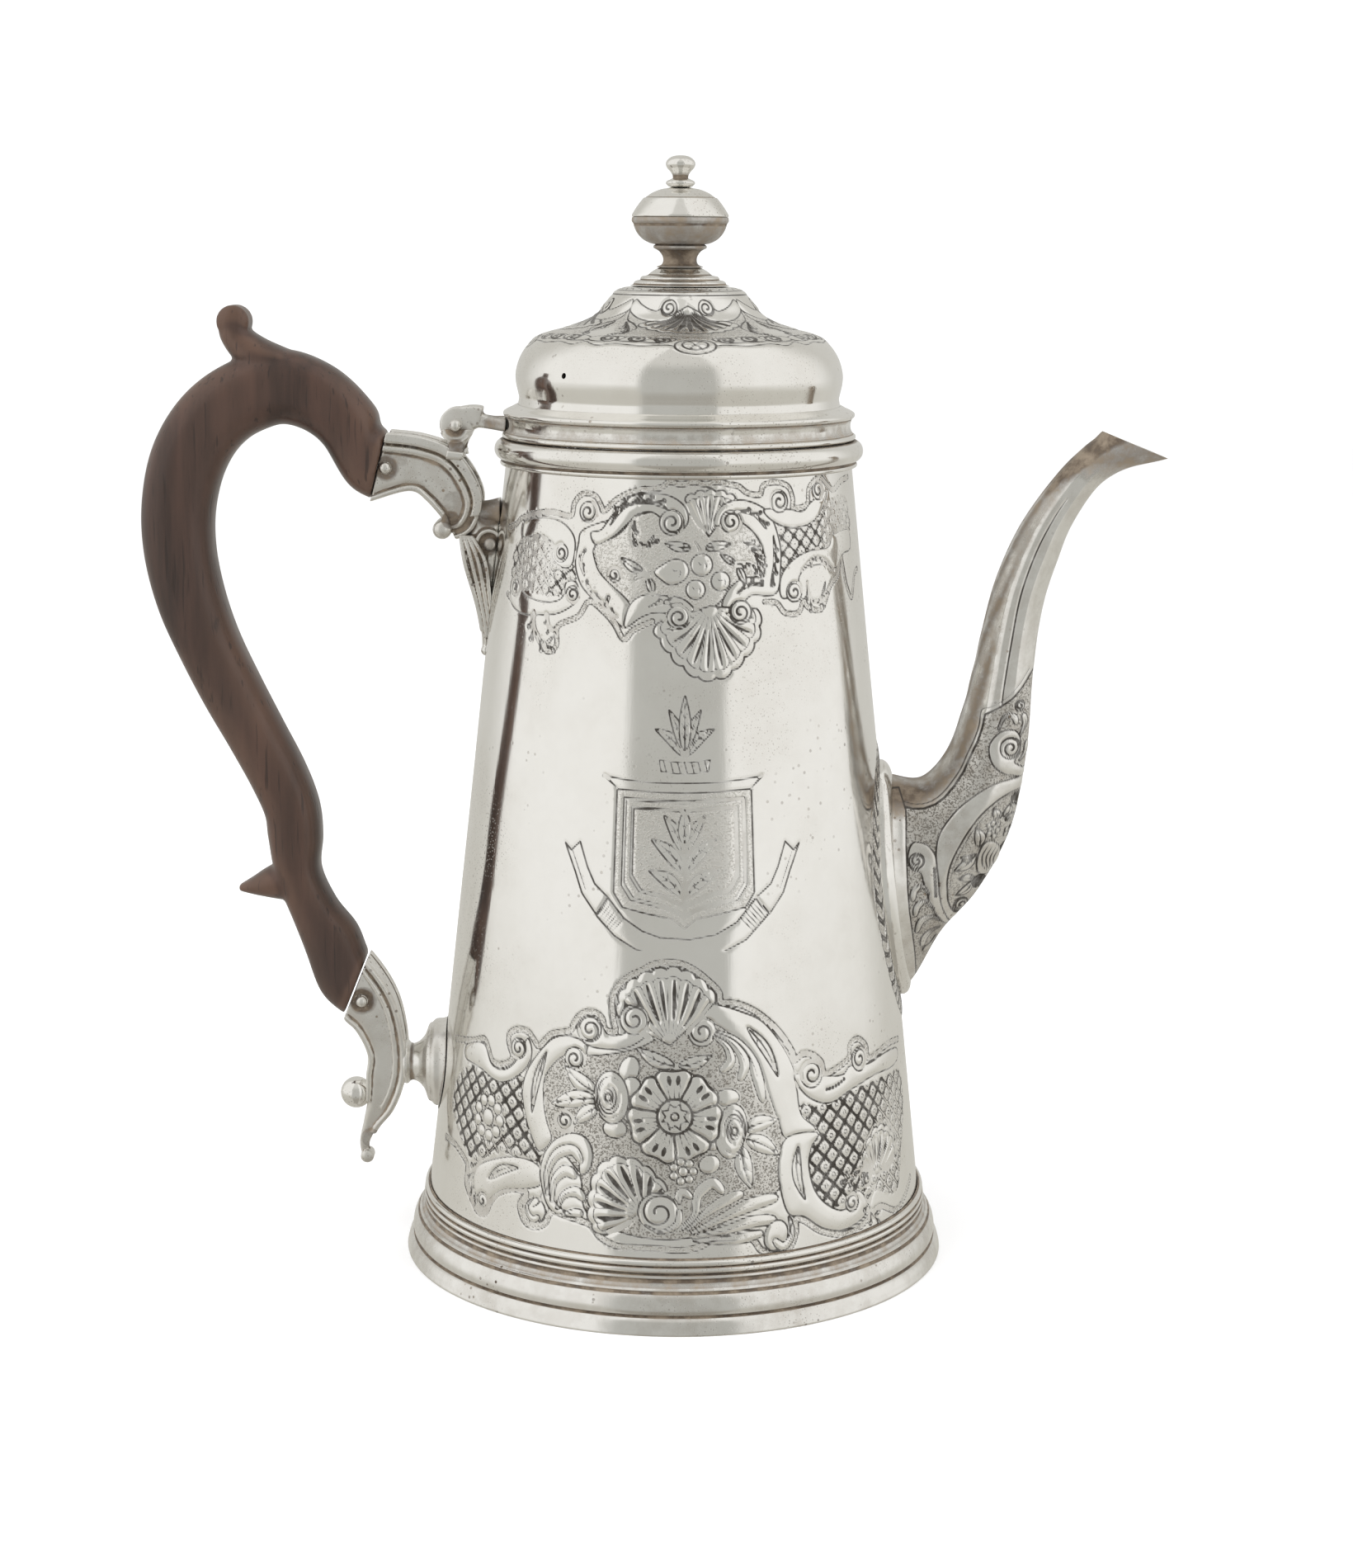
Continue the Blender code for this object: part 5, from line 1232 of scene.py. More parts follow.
def spout_oval(c):
    """The oval panel: leaves, a fluted fruit, berries, two small flowers and a shell."""
    c.shape([(80, 110.2), (76.5, 110.2), (72, 109.7), (68.5, 108.3), (65.5, 106.3), (62.5, 103.8),
             (59.8, 100.5), (58.2, 97.5), (57.7, 94.5), (57.8, 92), (58.4, 88), (58.8, 84), (60, 80),
             (63.2, 75.8), (72, 74), (86, 88), (88, 108)], 0.16, 1.6, 0.0, 0.42)
    c.shape([(80, 107.4), (76.5, 107.4), (74, 107), (71, 105.4), (67.7, 102.6), (65.3, 99.5), (63, 95.7),
             (61.1, 91.5), (60.4, 88), (60.5, 85), (61, 82), (62.8, 79.2), (66, 79), (72, 80), (84, 90),
             (86, 104)], -0.08, 1.0, 0.7, 0.5)
    c.cut([(80, 106.6), (76.3, 106.6), (74, 106.2), (71.4, 104.7), (68.4, 102.1), (66, 99.1), (63.8, 95.4),
           (61.9, 91.2), (61.2, 88), (61.3, 85.2)], (0.15, 0.25, 0.15), 0.05)
    c.volute(64.1, 81, 1.8, 0.0, 1.7, 1.0, 0.25)
    for base, tip, width, bend in (((67.4, 95), (66.6, 99.6), 1.3, -0.5), ((66.8, 93.4), (61.9, 89.6), 1.2,
            0.5), ((66.6, 86.6), (62.6, 83.6), 1.0, 0.4), ((67, 87.4), (63, 87.6), 0.9, -0.3),
            ((72.4, 101.4), (70.4, 103.8), 1.0, 0.3), ((73, 101.4), (74.6, 104.4), 1.0, -0.3),
            ((73.4, 100.6), (76.6, 101.2), 0.9, 0.2), ((66, 92.4), (63.2, 92.8), 0.8, 0.2)):
        c.leaf(base, tip, width, bend, 2, 0.28)
    c.shape([(68, 95), (67, 91.6), (67.6, 88.8), (70, 87.8), (72.6, 89.6), (73.4, 92.6), (71.6, 95.4),
             (69.6, 96.2)], 0.4, 1.4, 0.0, 0.42)
    for k in range(4):
        c.cut([(69.6 + 0.9 * k, 95.4 - 0.4 * k), (68.2 + 0.9 * k, 93 - 0.3 * k),
               (68.4 + 0.9 * k, 90.4 - 0.1 * k), (69.6 + 0.7 * k, 88.8 + 0.3 * k)],
              (0.15, 0.4, 0.4, 0.15), 0.12)
    for x, z in ((69.5, 99.8), (70.5, 100.3), (71.6, 99.8), (69.9, 98.9), (71, 99.2), (70.4, 98.2),
                 (71.6, 98.6), (69.6, 97.9), (70.8, 97.2), (74, 98.2), (75, 97.6), (74.6, 96.6),
                 (73.8, 97.1), (75.4, 98.6)):
        c.shape(circle(x, z, 0.62, sides=14), 0.25, 0.5, width=0.32)
    c.flower(68.2, 86.2, 6, 0.6, 1.6)
    c.flower(74.6, 93.2, 6, 0.6, 1.7)
    c.shell((76.4, 103.2), [(74.6, 105.4), (75.8, 106.4), (77.4, 106.2), (78.6, 105)], 5, 0.2)


# ---------------------------------------------------------------- body, foot and lid

SKIN_COLUMNS = 1024
SKIN_ROW = 0.4
SKIN_TOP, SKIN_FOOT = 178.6, 15.0   # the skin's edges lie behind the rim and the foot beads
SPOUT_HOLE = (9.0, 20.0)            # half axes of the opening that the collar hides
LINING_TOP = 184.1
LINING_GAP = 0.12                   # between the lining and the skin
HOLE_PITCH = 5.2
HOLE_RADIUS = 1.5


def body_skin(material):
    """The outer face of the body. The chasing of its front half is mirrored on the back."""
    z = np.arange(SKIN_TOP, SKIN_FOOT, -SKIN_ROW)
    half = SKIN_COLUMNS // 2
    theta = np.linspace(-math.pi / 2.0, math.pi / 2.0, half + 1)
    fields = body_chasing(theta, z)
    full = np.concatenate([theta, math.pi - theta[-2:0:-1]])
    fields = {label: np.hstack([field, field[:, -2:0:-1]]) for label, field in fields.items()}
    turn = full[None, :]
    uneven = 0.045 * np.sin(3.0 * turn + 0.045 * z[:, None]) + 0.03 * np.sin(7.0 * turn - 0.09 * z[:, None])
    radius = cone_radius(z)[:, None] + uneven + fields.pop("height")
    points = np.stack([radius * np.sin(turn), -radius * np.cos(turn), np.repeat(z[:, None], len(full), 1)],
            -1)
    faces = grid_faces(len(z), len(full))
    middle = points.reshape(-1, 3)[faces].mean(1)
    off_spout = (middle[:, 1] / SPOUT_HOLE[0]) ** 2 + ((middle[:, 2] - SPOUT_Z) / SPOUT_HOLE[1]) ** 2
    under_spout = (middle[:, 0] > 0.0) & (off_spout < 1.0)
    skin = make_object("body_skin", points, faces[~under_spout], fields)
    finish_piece(skin, material, "pot", "silver", "body_shell")


def strainer_rods():
    """Points and faces of rods through the wall, in seven rows of three and two by turns."""
    sides = 20
    turn = full_turn(sides)
    rods, faces = [], []
    for row in range(-3, 4):
        columns = 3 if row % 2 == 0 else 2
        for column in range(columns):
            y, height = (column - (columns - 1) / 2.0) * HOLE_PITCH, SPOUT_Z + row * HOLE_PITCH
            faces += bar_faces(sides, len(rods) * sides)
            for x in (38.0, 60.0):
                rods.append(np.stack([np.full(sides, x), y + HOLE_RADIUS * np.cos(turn),
                                      height + HOLE_RADIUS * np.sin(turn)], -1))
    return np.vstack(rods), faces


def body_lining(material):
    """The wall behind the skin, bright inside, with the strainer holes behind the spout."""
    z = np.linspace(LINING_TOP, BODY_LOW[2], 40)
    outer = np.stack([cone_radius(z) - LINING_GAP, z], -1)
    inner = np.stack([cone_radius(z[::-1]) - WALL, z[::-1]], -1)
    section = np.vstack([outer, inner])
    turn = full_turn(192)
    faces = grid_faces(len(section), len(turn), wrap_rows=True)[:, ::-1]
    lining = make_object("body_lining", spin(section, turn), faces)
    cut_away(lining, *strainer_rods())
    lining.data.shade_smooth()
    lining.data.set_sharp_from_angle(angle=math.radians(40.0))
    finish_piece(lining, material, "pot", "silver", "body_shell")


def base_plate(material):
    """The pot's bottom: shallowly domed, with turning rings and a centre punch mark."""
    outline = [(0.0, 11.4), (12.0, 11.36), (30.0, 11.2), (47.0, 10.9), (55.1, 10.7), (55.1, 10.7),
               (55.1, 9.8), (55.1, 9.8), (47.0, 10.0), (30.0, 10.3), (21.0, 10.42), (20.6, 10.32),
               (20.2, 10.43), (1.2, 10.5), (0.6, 10.8), (0.0, 10.9)]
    plate = lathe("base_disc", outline, columns=192, spacing=0.6, closed=False)
    finish_piece(plate, material, "pot", "silver", "base_plate")


def foot(material, bead_material):
    """The two beads round the bottom of the body, and the moulded foot."""
    inner = cone_radius(12.0) + 0.1
    beads = [(56.05, 15.45), (56.3, 15.2)] + bead(56.42, 14.42, 0.70) + [(56.62, 13.78)]
    beads += bead(56.55, 13.05, 0.76) + [(56.9, 12.2), (56.9, 12.2), (inner, 12.2)]
    # Painted shadow lines in the seams above, between and below the beads.
    wire = lathe("foot_beads", beads, [(cone_radius(15.3) + 0.08, 15.3)], spacing=0.12,
                 shade_and_tarnish_marks=(15.5, 13.75, 12.2))
    finish_piece(wire, bead_material, "pot", "silver", "foot_wire")

    moulding = [(56.9, 12.1), (57.25, 11.85), (57.35, 11.3), (57.35, 11.3), (57.05, 11.1), (57.05, 11.1),
                (57.2, 10.5), (57.75, 9.6), (58.5, 9.05), (58.5, 9.05), (58.42, 8.7), (58.42, 8.7),
                (59.0, 8.2), (59.5, 7.3), (59.85, 6.1), (59.95, 5.0), (59.75, 4.15), (59.4, 3.8),
                (59.4, 3.8), (59.75, 3.6), (60.35, 3.1), (60.8, 2.2), (61.1, 1.1), (61.28, 0.35),
                (61.2, 0.05), (60.9, 0.0)]
    # Painted shadow lines in the seams and steps of the foot moulding.
    ring = lathe("foot_moulding", moulding, [(59.1, 0.0), (58.4, 2.0), (57.2, 8.0), (inner, 9.2),
            (inner, 12.0)], columns=384, spacing=0.14, shade_and_tarnish_marks=(12.1, 11.2, 10.9, 8.8, 8.6, 3.8))
    finish_piece(ring, material, "pot", "silver", "foot_ring")


def rim(material):
    """The round moulding at the mouth, with a fillet and a bead under it."""
    inner = cone_radius(181.0) + 0.15
    outline = [(inner, 184.2), (38.7, 184.2), (39.3, 184.0), (39.9, 183.5), (40.3, 182.7), (40.4, 181.9),
               (40.25, 181.1), (39.75, 180.35), (39.1, 179.9), (38.8, 179.8), (38.8, 179.8), (38.95, 179.6)]
    outline += bead(38.7, 179.05, 0.48) + [(38.3, 178.45), (38.3, 178.45), (inner, 178.4)]
    # Painted shadow lines where the lid sits, at the fillet and where the rim meets the body.
    ring = lathe("rim_roll", outline, spacing=0.12, shade_and_tarnish_marks=(184.3, 179.7, 178.4))
    finish_piece(ring, material, "pot", "silver", "rim_moulding")


LID_DOME = [(0.0, 217.15), (8.6, 217.15), (11.5, 217.0), (13.5, 216.5), (14.6, 215.7), (14.6, 215.7),
            (14.75, 215.3), (15.3, 214.7), (16.3, 213.5), (18.1, 211.4), (21.2, 209.5), (24.5, 208.35),
            (28.4, 207.4), (31.2, 206.3), (33.4, 204.1), (34.9, 201.6), (35.7, 198.8), (35.7, 196.6),
            (35.2, 194.2), (35.0, 193.2), (35.15, 192.2), (35.3, 191.0), (35.3, 188.4)]
VENT = (-24.3, -26.3, 199.0)
VENT_RADIUS = 0.62


def lid_cover(material):
    """The outer face of the domed lid, with its engraved band and vent."""
    outer = fair(LID_DOME, 0.35)[::-1]
    theta = np.linspace(-math.pi, math.pi, 640, endpoint=False)
    fields = lid_chasing(theta, outer)
    normal = -headings(outer)[1]
    lift = fields.pop("height")
    radius = outer[:, :1] + normal[:, :1] * lift
    height = outer[:, 1:] + normal[:, 1:] * lift
    skin = np.stack([radius * np.sin(theta), -radius * np.cos(theta), height], -1)
    fields = {label: field[::-1] for label, field in fields.items()}
    cover = make_object("lid_dome", skin[::-1], grid_faces(len(skin), len(theta)), fields)
    drill(cover, *VENT, (VENT[0], VENT[1], 0.0), VENT_RADIUS, 3.0)
    cover.data.shade_smooth()
    finish_piece(cover, material, "lid", "silver", "lid_cover")


def lid_inside(material):
    """The plain inside of the lid."""
    outline = [(0.0, 216.2), (13.0, 215.7), (14.3, 214.3), (16.6, 211.6), (20.2, 208.8), (24.2, 207.5),
               (28.6, 206.4), (31.0, 205.3), (32.7, 203.4), (34.0, 201.3), (34.8, 198.7), (34.8, 196.6),
               (34.3, 194.2), (34.2, 193.0), (34.4, 190.0), (34.4, 188.4)]
    inside = lathe("lid_inside", outline[::-1], columns=192, spacing=0.6, closed=False)
    drill(inside, *VENT, (VENT[0], VENT[1], 0.0), VENT_RADIUS, 4.0)
    finish_piece(inside, material, "lid", "silver", "lid_cover")


def lid_mouldings(material):
    """The moulding round the lid's edge, and the sleeve that goes into the mouth."""
    outline = [(35.36, 191.7), (35.9, 191.5), (36.6, 191.1), (37.7, 190.6), (38.35, 190.2), (38.35, 190.2),
               (38.5, 189.8), (38.35, 189.35), (37.9, 189.0), (37.9, 189.0), (37.65, 188.2), (37.55, 187.3),
               (37.75, 186.4), (38.2, 185.7), (38.2, 185.7), (38.65, 185.4), (38.75, 184.9), (38.5, 184.5),
               (38.5, 184.5), (36.0, 184.5)]
    flange = lathe("lid_edge", outline, [(35.7, 184.6), (35.4, 188.5)], spacing=0.12)
    finish_piece(flange, material, "lid", "silver", "lid_flange")
    bezel = lathe("lid_sleeve", [(35.6, 188.0), (35.6, 179.9), (35.5, 179.6), (35.2, 179.5), (34.9, 179.6),
                                 (34.8, 179.9), (34.8, 188.0)], columns=256, spacing=0.4)
    finish_piece(bezel, material, "lid", "silver", "lid_bezel")


FINIAL_STEPS = [(0.0, 221.3), (3.6, 221.3), (4.6, 221.1), (5.6, 220.6), (6.5, 220.0), (6.5, 220.0),
                (6.9, 219.6), (7.6, 219.4), (8.2, 219.3), (8.2, 219.3), (8.55, 218.95), (8.6, 218.5),
                (8.6, 218.5), (9.3, 218.4), (9.9, 218.1), (10.1, 217.6), (10.05, 217.2), (0.0, 217.2)]
FINIAL_BOWL = [(9.8, 231.95), (10.35, 231.9), (10.5, 231.5), (10.5, 231.0), (10.1, 230.4), (10.1, 230.4),
               (9.9, 229.6), (9.2, 228.3), (8.0, 227.1), (6.5, 226.35), (5.3, 226.1), (5.3, 226.1),
               (5.75, 225.8), (5.75, 225.35), (5.3, 225.1), (5.3, 225.1), (4.5, 224.6), (3.8, 223.6),
               (3.65, 222.6), (4.0, 221.8), (4.9, 221.2), (0.0, 221.2)]
FINIAL_CAP = [(2.0, 238.3), (2.6, 238.1), (4.4, 237.75), (6.3, 236.95), (7.6, 236.0), (7.6, 236.0),
              (7.95, 235.95), (8.6, 235.2), (9.5, 234.0), (10.2, 232.9), (10.5, 232.3), (10.4, 232.0),
              (9.8, 231.97)]
FINIAL_KNOP = [(0.0, 245.0), (1.1, 244.92), (2.1, 244.6), (2.9, 243.95), (3.2, 243.2), (2.95, 242.35),
               (2.2, 241.5), (1.75, 240.8), (1.65, 240.1), (1.65, 240.1), (2.2, 239.9), (3.0, 239.5),
               (3.15, 239.0), (2.8, 238.6), (2.2, 238.3), (0.0, 238.3)]


def finial(bright, dark):
    """The baluster on top of the lid, in four turned pieces."""
    for name, node, material, outline, back, columns, spacing, tarnish_and_shade, closed in (
            ("finial_steps", "finial_foot", bright, FINIAL_STEPS, (), 128, 0.15, 0.0, False),
            ("finial_bowl", "finial_lower", dark, FINIAL_BOWL, [(0.0, 231.95)], 160, 0.12, 0.72, True),
            ("finial_cap", "finial_upper", bright, FINIAL_CAP, [(0.0, 231.97), (0.0, 238.3)], 160, 0.12, 0.0,
             True),
            ("finial_knop", "finial_button", bright, FINIAL_KNOP, (), 96, 0.12, 0.0, False)):
        piece = lathe(name, outline, back, columns, spacing, tarnish_and_shade, closed)
        finish_piece(piece, material, "lid", "silver", node)


# ---------------------------------------------------------------- spout

# (x, z, half width, half depth, angle), from the body to the lip
SPOUT_STATIONS = (
    (46.0, 85.3, 26.0, 14.0, 6.0),
    (51.2, 85.8, 23.7, 12.6, 6.0),
    (57.6, 91.3, 17.8, 11.6, 8.0),
    (64.1, 98.7, 16.2, 11.0, 13.5),
    (68.9, 108.9, 14.0, 10.2, 24.5),
    (71.4, 120.0, 10.2, 9.0, 41.0),
    (72.6, 130.8, 7.3, 7.8, 64.0),
    (73.7, 140.3, 6.3, 7.0, 79.0),
    (75.7, 150.8, 5.9, 6.6, 79.0),
    (79.0, 160.4, 5.5, 6.2, 71.0),
    (82.5, 167.8, 4.8, 5.8, 61.0),
    (87.8, 175.6, 4.3, 5.4, 54.0),
    (92.2, 179.8, 4.4, 5.2, 46.0),
    (95.9, 181.9, 5.3, 5.4, 55.0),
    (100.3, 183.5, 7.8, 5.6, 68.0),
)
SPOUT_WALL = 0.9
SPOUT_SIDES = 320
SPOUT_PANELS = 8


def spout_rings(sides, steps, shrink, panelled):
    """Rings of points along the spout, shrunk inwards, with eight flat panels round its neck."""
    s = smooth_curve(SPOUT_STATIONS, steps)
    turn = math.tau * (np.arange(sides) + 0.5) / sides
    u, v = superellipse(sides, 2.1)
    angle = np.radians(s[:, 4:5])
    z = s[:, 1:2]
    flat = np.clip((z - 112.0) / 14.0, 0.0, 1.0) * np.clip((181.5 - z) / 9.0, 0.0, 1.0) * panelled
    sector = math.tau / SPOUT_PANELS
    within = turn % sector - sector / 2.0
    panel = np.cos(sector / 2.0) / np.cos(sector / 2.0 - np.abs(within)) / 0.965
    scale = 1.0 + flat * 0.75 * (np.minimum(panel, 1.0) - 1.0)
    across = u * (s[:, 2:3] - shrink) * scale
    rings = np.stack([s[:, 0:1] - np.sin(angle) * across, v * (s[:, 3:4] - shrink) * scale,
                      z + np.cos(angle) * across], -1)
    return rings


def spout(material):
    """The spout's chased outside, its lip and its inside, cut off where they meet the body."""
    outer = spout_rings(SPOUT_SIDES, 30, 0.0, 1.0)
    inner = spout_rings(SPOUT_SIDES, 30, SPOUT_WALL, 0.0)
    lip = (outer[-1] + inner[-1]) / 2.0 + (outer[-1] - outer[-2]) * 0.1
    fields = spout_chasing(outer)
    normal = np.cross(np.roll(outer, -1, 1) - np.roll(outer, 1, 1), np.gradient(outer, axis=0))
    normal /= np.linalg.norm(normal, axis=2)[:, :, None] + 1e-9
    middle = outer.mean(1)[:, None, :]
    normal *= np.sign((normal * (outer - middle)).sum(2))[:, :, None]
    outer = outer + normal * fields.pop("height")[:, :, None]
    inner = inner[::-4]
    points = np.concatenate([outer, lip[None], inner])
    rest = len(points) - len(outer)
    fields = {label: np.vstack([field, np.full((rest, SPOUT_SIDES), 1.0 if label == "line_mm" else 0.0)])
              for label, field in fields.items()}
    faces = grid_faces(len(points), SPOUT_SIDES)
    flat = points.reshape(-1, 3)
    off_body = np.hypot(flat[:, 0], flat[:, 1]) - cone_radius(flat[:, 2])
    faces = faces[(off_body[faces] > 0.35).all(1)]
    tube = make_object("spout_tube", points, faces, fields)
    apply_modifier(tube, 'WELD', merge_threshold=1e-7)
    finish_piece(tube, material, "pot", "silver", "spout")


COLLAR_OVAL = (14.6, 27.0)   # half axes of the collar's outer edge
# (distance in from that edge, height above the body)
APRON_SECTION = [(0.0, 0.05), (0.0, 0.6), (0.0, 0.6), (0.12, 1.2), (0.7, 1.95), (1.7, 2.5), (2.9, 2.8),
                 (3.6, 2.85), (3.6, 2.85), (3.75, 2.55), (3.75, 2.55), (3.95, 2.9), (4.4, 3.0), (4.7, 2.9),
                 (5.0, 2.6), (5.0, 0.3)]


def spout_apron(material):
    """The moulded oval collar round the root of the spout."""
    section = fair(APRON_SECTION, 0.15)
    dark = hollows(section * [-1.0, 1.0], 2, 0.10)
    turn = full_turn(360)
    inset, lift = section[:, :1], section[:, 1:]
    y = (COLLAR_OVAL[0] - inset * 0.8) * np.cos(turn)
    z = SPOUT_Z + (COLLAR_OVAL[1] - inset) * np.sin(turn)
    x = np.sqrt((cone_radius(z) + lift) ** 2 - y ** 2)
    faces = grid_faces(len(section), len(turn), wrap_rows=True)
    collar = make_object("spout_collar", np.stack([x, y, z], -1), faces,
            {"tarnish_and_shade": np.repeat(dark, len(turn))})
    finish_piece(collar, material, "pot", "silver", "spout_apron")


# ---------------------------------------------------------------- wooden handle

HANDLE_STATIONS = (
    (-65.8, 178.1, 7.6, 6.8, -14.0),
    (-69.0, 180.4, 7.5, 6.9, -28.0),
    (-72.6, 187.0, 7.0, 7.1, -50.0),
    (-79.2, 192.7, 7.6, 7.4, -26.0),
    (-87.5, 195.0, 8.2, 7.6, 2.0),
    (-96.5, 192.0, 8.2, 7.8, 32.0),
    (-103.2, 186.6, 8.2, 7.9, 52.0),
    (-107.9, 178.6, 8.2, 8.0, 70.0),
    (-110.2, 168.5, 8.0, 8.0, 84.0),
    (-110.1, 158.5, 7.8, 7.9, 97.0),
    (-107.9, 148.0, 7.5, 7.7, 107.0),
    (-104.2, 138.0, 7.0, 7.5, 114.0),
    (-99.4, 127.8, 6.8, 7.3, 116.0),
    (-94.0, 117.5, 6.5, 7.1, 117.0),
    (-89.4, 108.5, 6.4, 6.9, 115.0),
    (-86.5, 101.0, 6.2, 6.7, 105.0),
    (-85.8, 94.5, 6.1, 6.5, 91.0),
    (-85.3, 86.5, 5.2, 6.3, 97.0),
    (-81.9, 77.8, 5.3, 6.2, 115.0),
    (-78.2, 70.9, 6.5, 6.3, 120.0),
    (-75.5, 63.8, 7.2, 6.5, 135.0),
    (-72.7, 60.3, 7.2, 6.6, 158.5),
)
THUMB_STATIONS = (
    (-78.0, 196.0, 3.6, 6.4, -14.0),
    (-86.0, 199.0, 4.0, 6.6, -18.0),
    (-92.8, 202.2, 3.9, 6.0, -36.0),
    (-96.6, 206.0, 3.4, 5.0, -68.0),
    (-97.2, 209.0, 3.3, 4.6, -88.0),
)
SPUR_STATIONS = (
    (-86.0, 84.4, 5.0, 5.6, 190.0),
    (-91.0, 83.8, 3.8, 4.8, 192.0),
    (-95.2, 82.9, 2.1, 3.6, 196.0),
    (-98.7, 82.3, 0.7, 1.6, 200.0),
)
UPPER_PIN = (-64.0, 177.8)
LOWER_PIN = (-70.9, 57.5)


def wood_handle(material):
    """One carved piece: grip, thumb scroll and spur, blended into each other."""
    parts = [sweep(HANDLE_STATIONS, 2.7, 48, 10), sweep(THUMB_STATIONS, 2.6, 40, 8),
             sweep(SPUR_STATIONS, 2.3, 32, 8), rod(-97.0, 209.0, 3.6, -4.7, 4.7, 1.6)]
    wood = fuse("carved_handle", parts, 0.45, 5)
    finish_piece(wood, material, "pot", "fruitwood", "wood_handle")


# ---------------------------------------------------------------- sockets and hinge

UPPER_SOCKET = (
    (-65.6, 178.0, 7.7, 6.9, -14.0),
    (-57.4, 178.7, 6.0, 6.6, -14.0),
    (-51.8, 176.0, 6.2, 6.3, -33.0),
    (-47.7, 170.0, 5.2, 5.8, -60.0),
    (-48.0, 165.4, 3.4, 5.0, -96.0),
    (-50.0, 163.9, 2.2, 4.6, -150.0),
)
LOWER_SOCKET = (
    (-72.4, 60.05, 7.3, 6.7, 158.5),
    (-68.0, 53.6, 5.6, 6.2, 124.0),
    (-65.6, 45.2, 4.4, 5.6, 96.0),
    (-66.0, 38.8, 4.4, 5.2, 80.0),
    (-67.4, 32.6, 3.5, 4.6, 66.0),
    (-69.6, 27.6, 2.2, 3.8, 64.0),
    (-71.2, 22.8, 1.5, 3.0, 78.0),
    (-71.0, 19.6, 1.2, 2.4, 100.0),
)


def recessed(stations, cheek):
    """The same stations with shallower sides, so that cords along the edges stand out."""
    return [(x, z, width - 0.4, depth - cheek, angle) for x, z, width, depth, angle in stations]


def upper_socket(material):
    """The cast scroll: a strip, a groove and a moulding along its top, a moulding below and a curled end."""
    parts = [sweep(recessed(UPPER_SOCKET, 1.8), 5.0, 48, 10)]
    parts += edge_cord(UPPER_SOCKET, 1.0, 5.3, 1.15, 1.1, 0, 30, power=5.0)
    for side, inset, radius, end in ((1.0, 3.5, 0.8, None), (-1.0, 0.55, 0.7, None), (1.0, 0.6, 0.6, None)):
        parts += edge_cord(UPPER_SOCKET, side, 5.2, radius, inset, 0, end)
    parts.append(rod(-51.9, 164.2, 2.1, -4.9, 4.9, 1.4))
    # Dark patches: painted shade round the pin, where the scroll meets the handle and in its curled end.
    socket = fuse("upper_scroll", parts, 0.2, 2, shade_and_tarnish_marks=(
        (*UPPER_PIN, 4.0, 0.9), (-61.4, 179.8, 3.4, 0.5), (-49.0, 169.8, 4.4, 0.6), (-50.0, 166.4, 3.0, 0.9)))
    finish_piece(socket, material, "pot", "cast_silver", "upper_socket")
    for name, (x, z), node in (("upper_rivet", UPPER_PIN, "upper_handle_pin"),
                               ("lower_rivet", LOWER_PIN, "lower_handle_pin")):
        washer = [turned(x, z, [(2.0, side * 5.0), (2.0, side * 5.9), (1.75, side * 6.2), (1.5, side * 5.8),
                                (1.3, side * 5.0)][::int(side)]) for side in (1.0, -1.0)]
        pin = fuse(name, [rod(x, z, 1.25, -7.0, 7.0, 0.9)] + washer, 0.12, 1)
        finish_piece(pin, material, "pot", "silver", node)


def upper_bracket(material):
    """The leaf bracket under the upper scroll: fluted down its back, with a volute on each cheek."""
    spine = ((-46.6, 163.0, 1.6, 3.6, -92.0), (-44.6, 157.0, 2.6, 4.4, -84.0),
             (-42.9, 148.0, 1.9, 3.2, -84.0), (-42.0, 141.0, 1.6, 2.4, -86.0),
             (-42.5, 136.8, 1.0, 1.6, -90.0))
    arm = ((-46.4, 168.0, 2.0, 3.6, 4.0), (-42.0, 168.2, 2.2, 3.8, 0.0), (-39.2, 168.2, 2.9, 4.2, 0.0))
    web = ((-42.4, 168.4, 3.2, 3.0, -90.0), (-42.9, 161.0, 3.4, 3.0, -88.0), (-42.7, 152.0, 2.5, 2.4, -86.0),
           (-42.4, 143.0, 1.5, 1.8, -88.0))
    parts = [sweep(spine, 3.0, 40, 10), sweep(arm, 2.4, 32, 8), sweep(web, 3.5, 32, 8)]
    for side, end in ((1.0, 30), (0.33, 28), (-0.33, 26), (-1.0, 24)):
        parts += edge_cord(spine, side, 3.85, 0.46, 0.4, 0, end)
    turn = np.linspace(-0.6, 4.4, 14)
    scroll = [(-41.6 + 2.7 * math.cos(a), 161.0 + 3.0 * math.sin(a), 0.5, 0.6, math.degrees(a) + 90.0)
              for a in turn]
    scroll += [(-43.2, 155.6, 0.5, 0.6, -66.0), (-41.6, 150.6, 0.5, 0.6, -72.0),
               (-40.9, 146.4, 0.4, 0.5, -80.0)]
    parts += [sweep(scroll, 2.0, 14, 3, y) for y in (-3.3, 3.3)]
    parts += [rod(-41.4, 161.0, 1.4, -4.3, 4.3, 1.0), rod(-41.6, 146.0, 0.8, -3.2, 3.2, 0.6),
              rod(-42.5, 137.2, 1.2, -2.4, 2.4, 0.9)]
    # Dark patches: painted shade where the arm meets the body, round the volute and under the scroll.
    bracket = fuse("upper_leaf", parts, 0.2, 2, seat=0.1, shade_and_tarnish_marks=((-41.6, 168.2, 5.0, 0.9),
            (-41.4, 161.0, 3.9, 0.8), (-46.6, 165.6, 3.4, 1.0), (-42.6, 155.0, 3.0, 0.7)))
    finish_piece(bracket, material, "pot", "cast_silver", "upper_bracket")


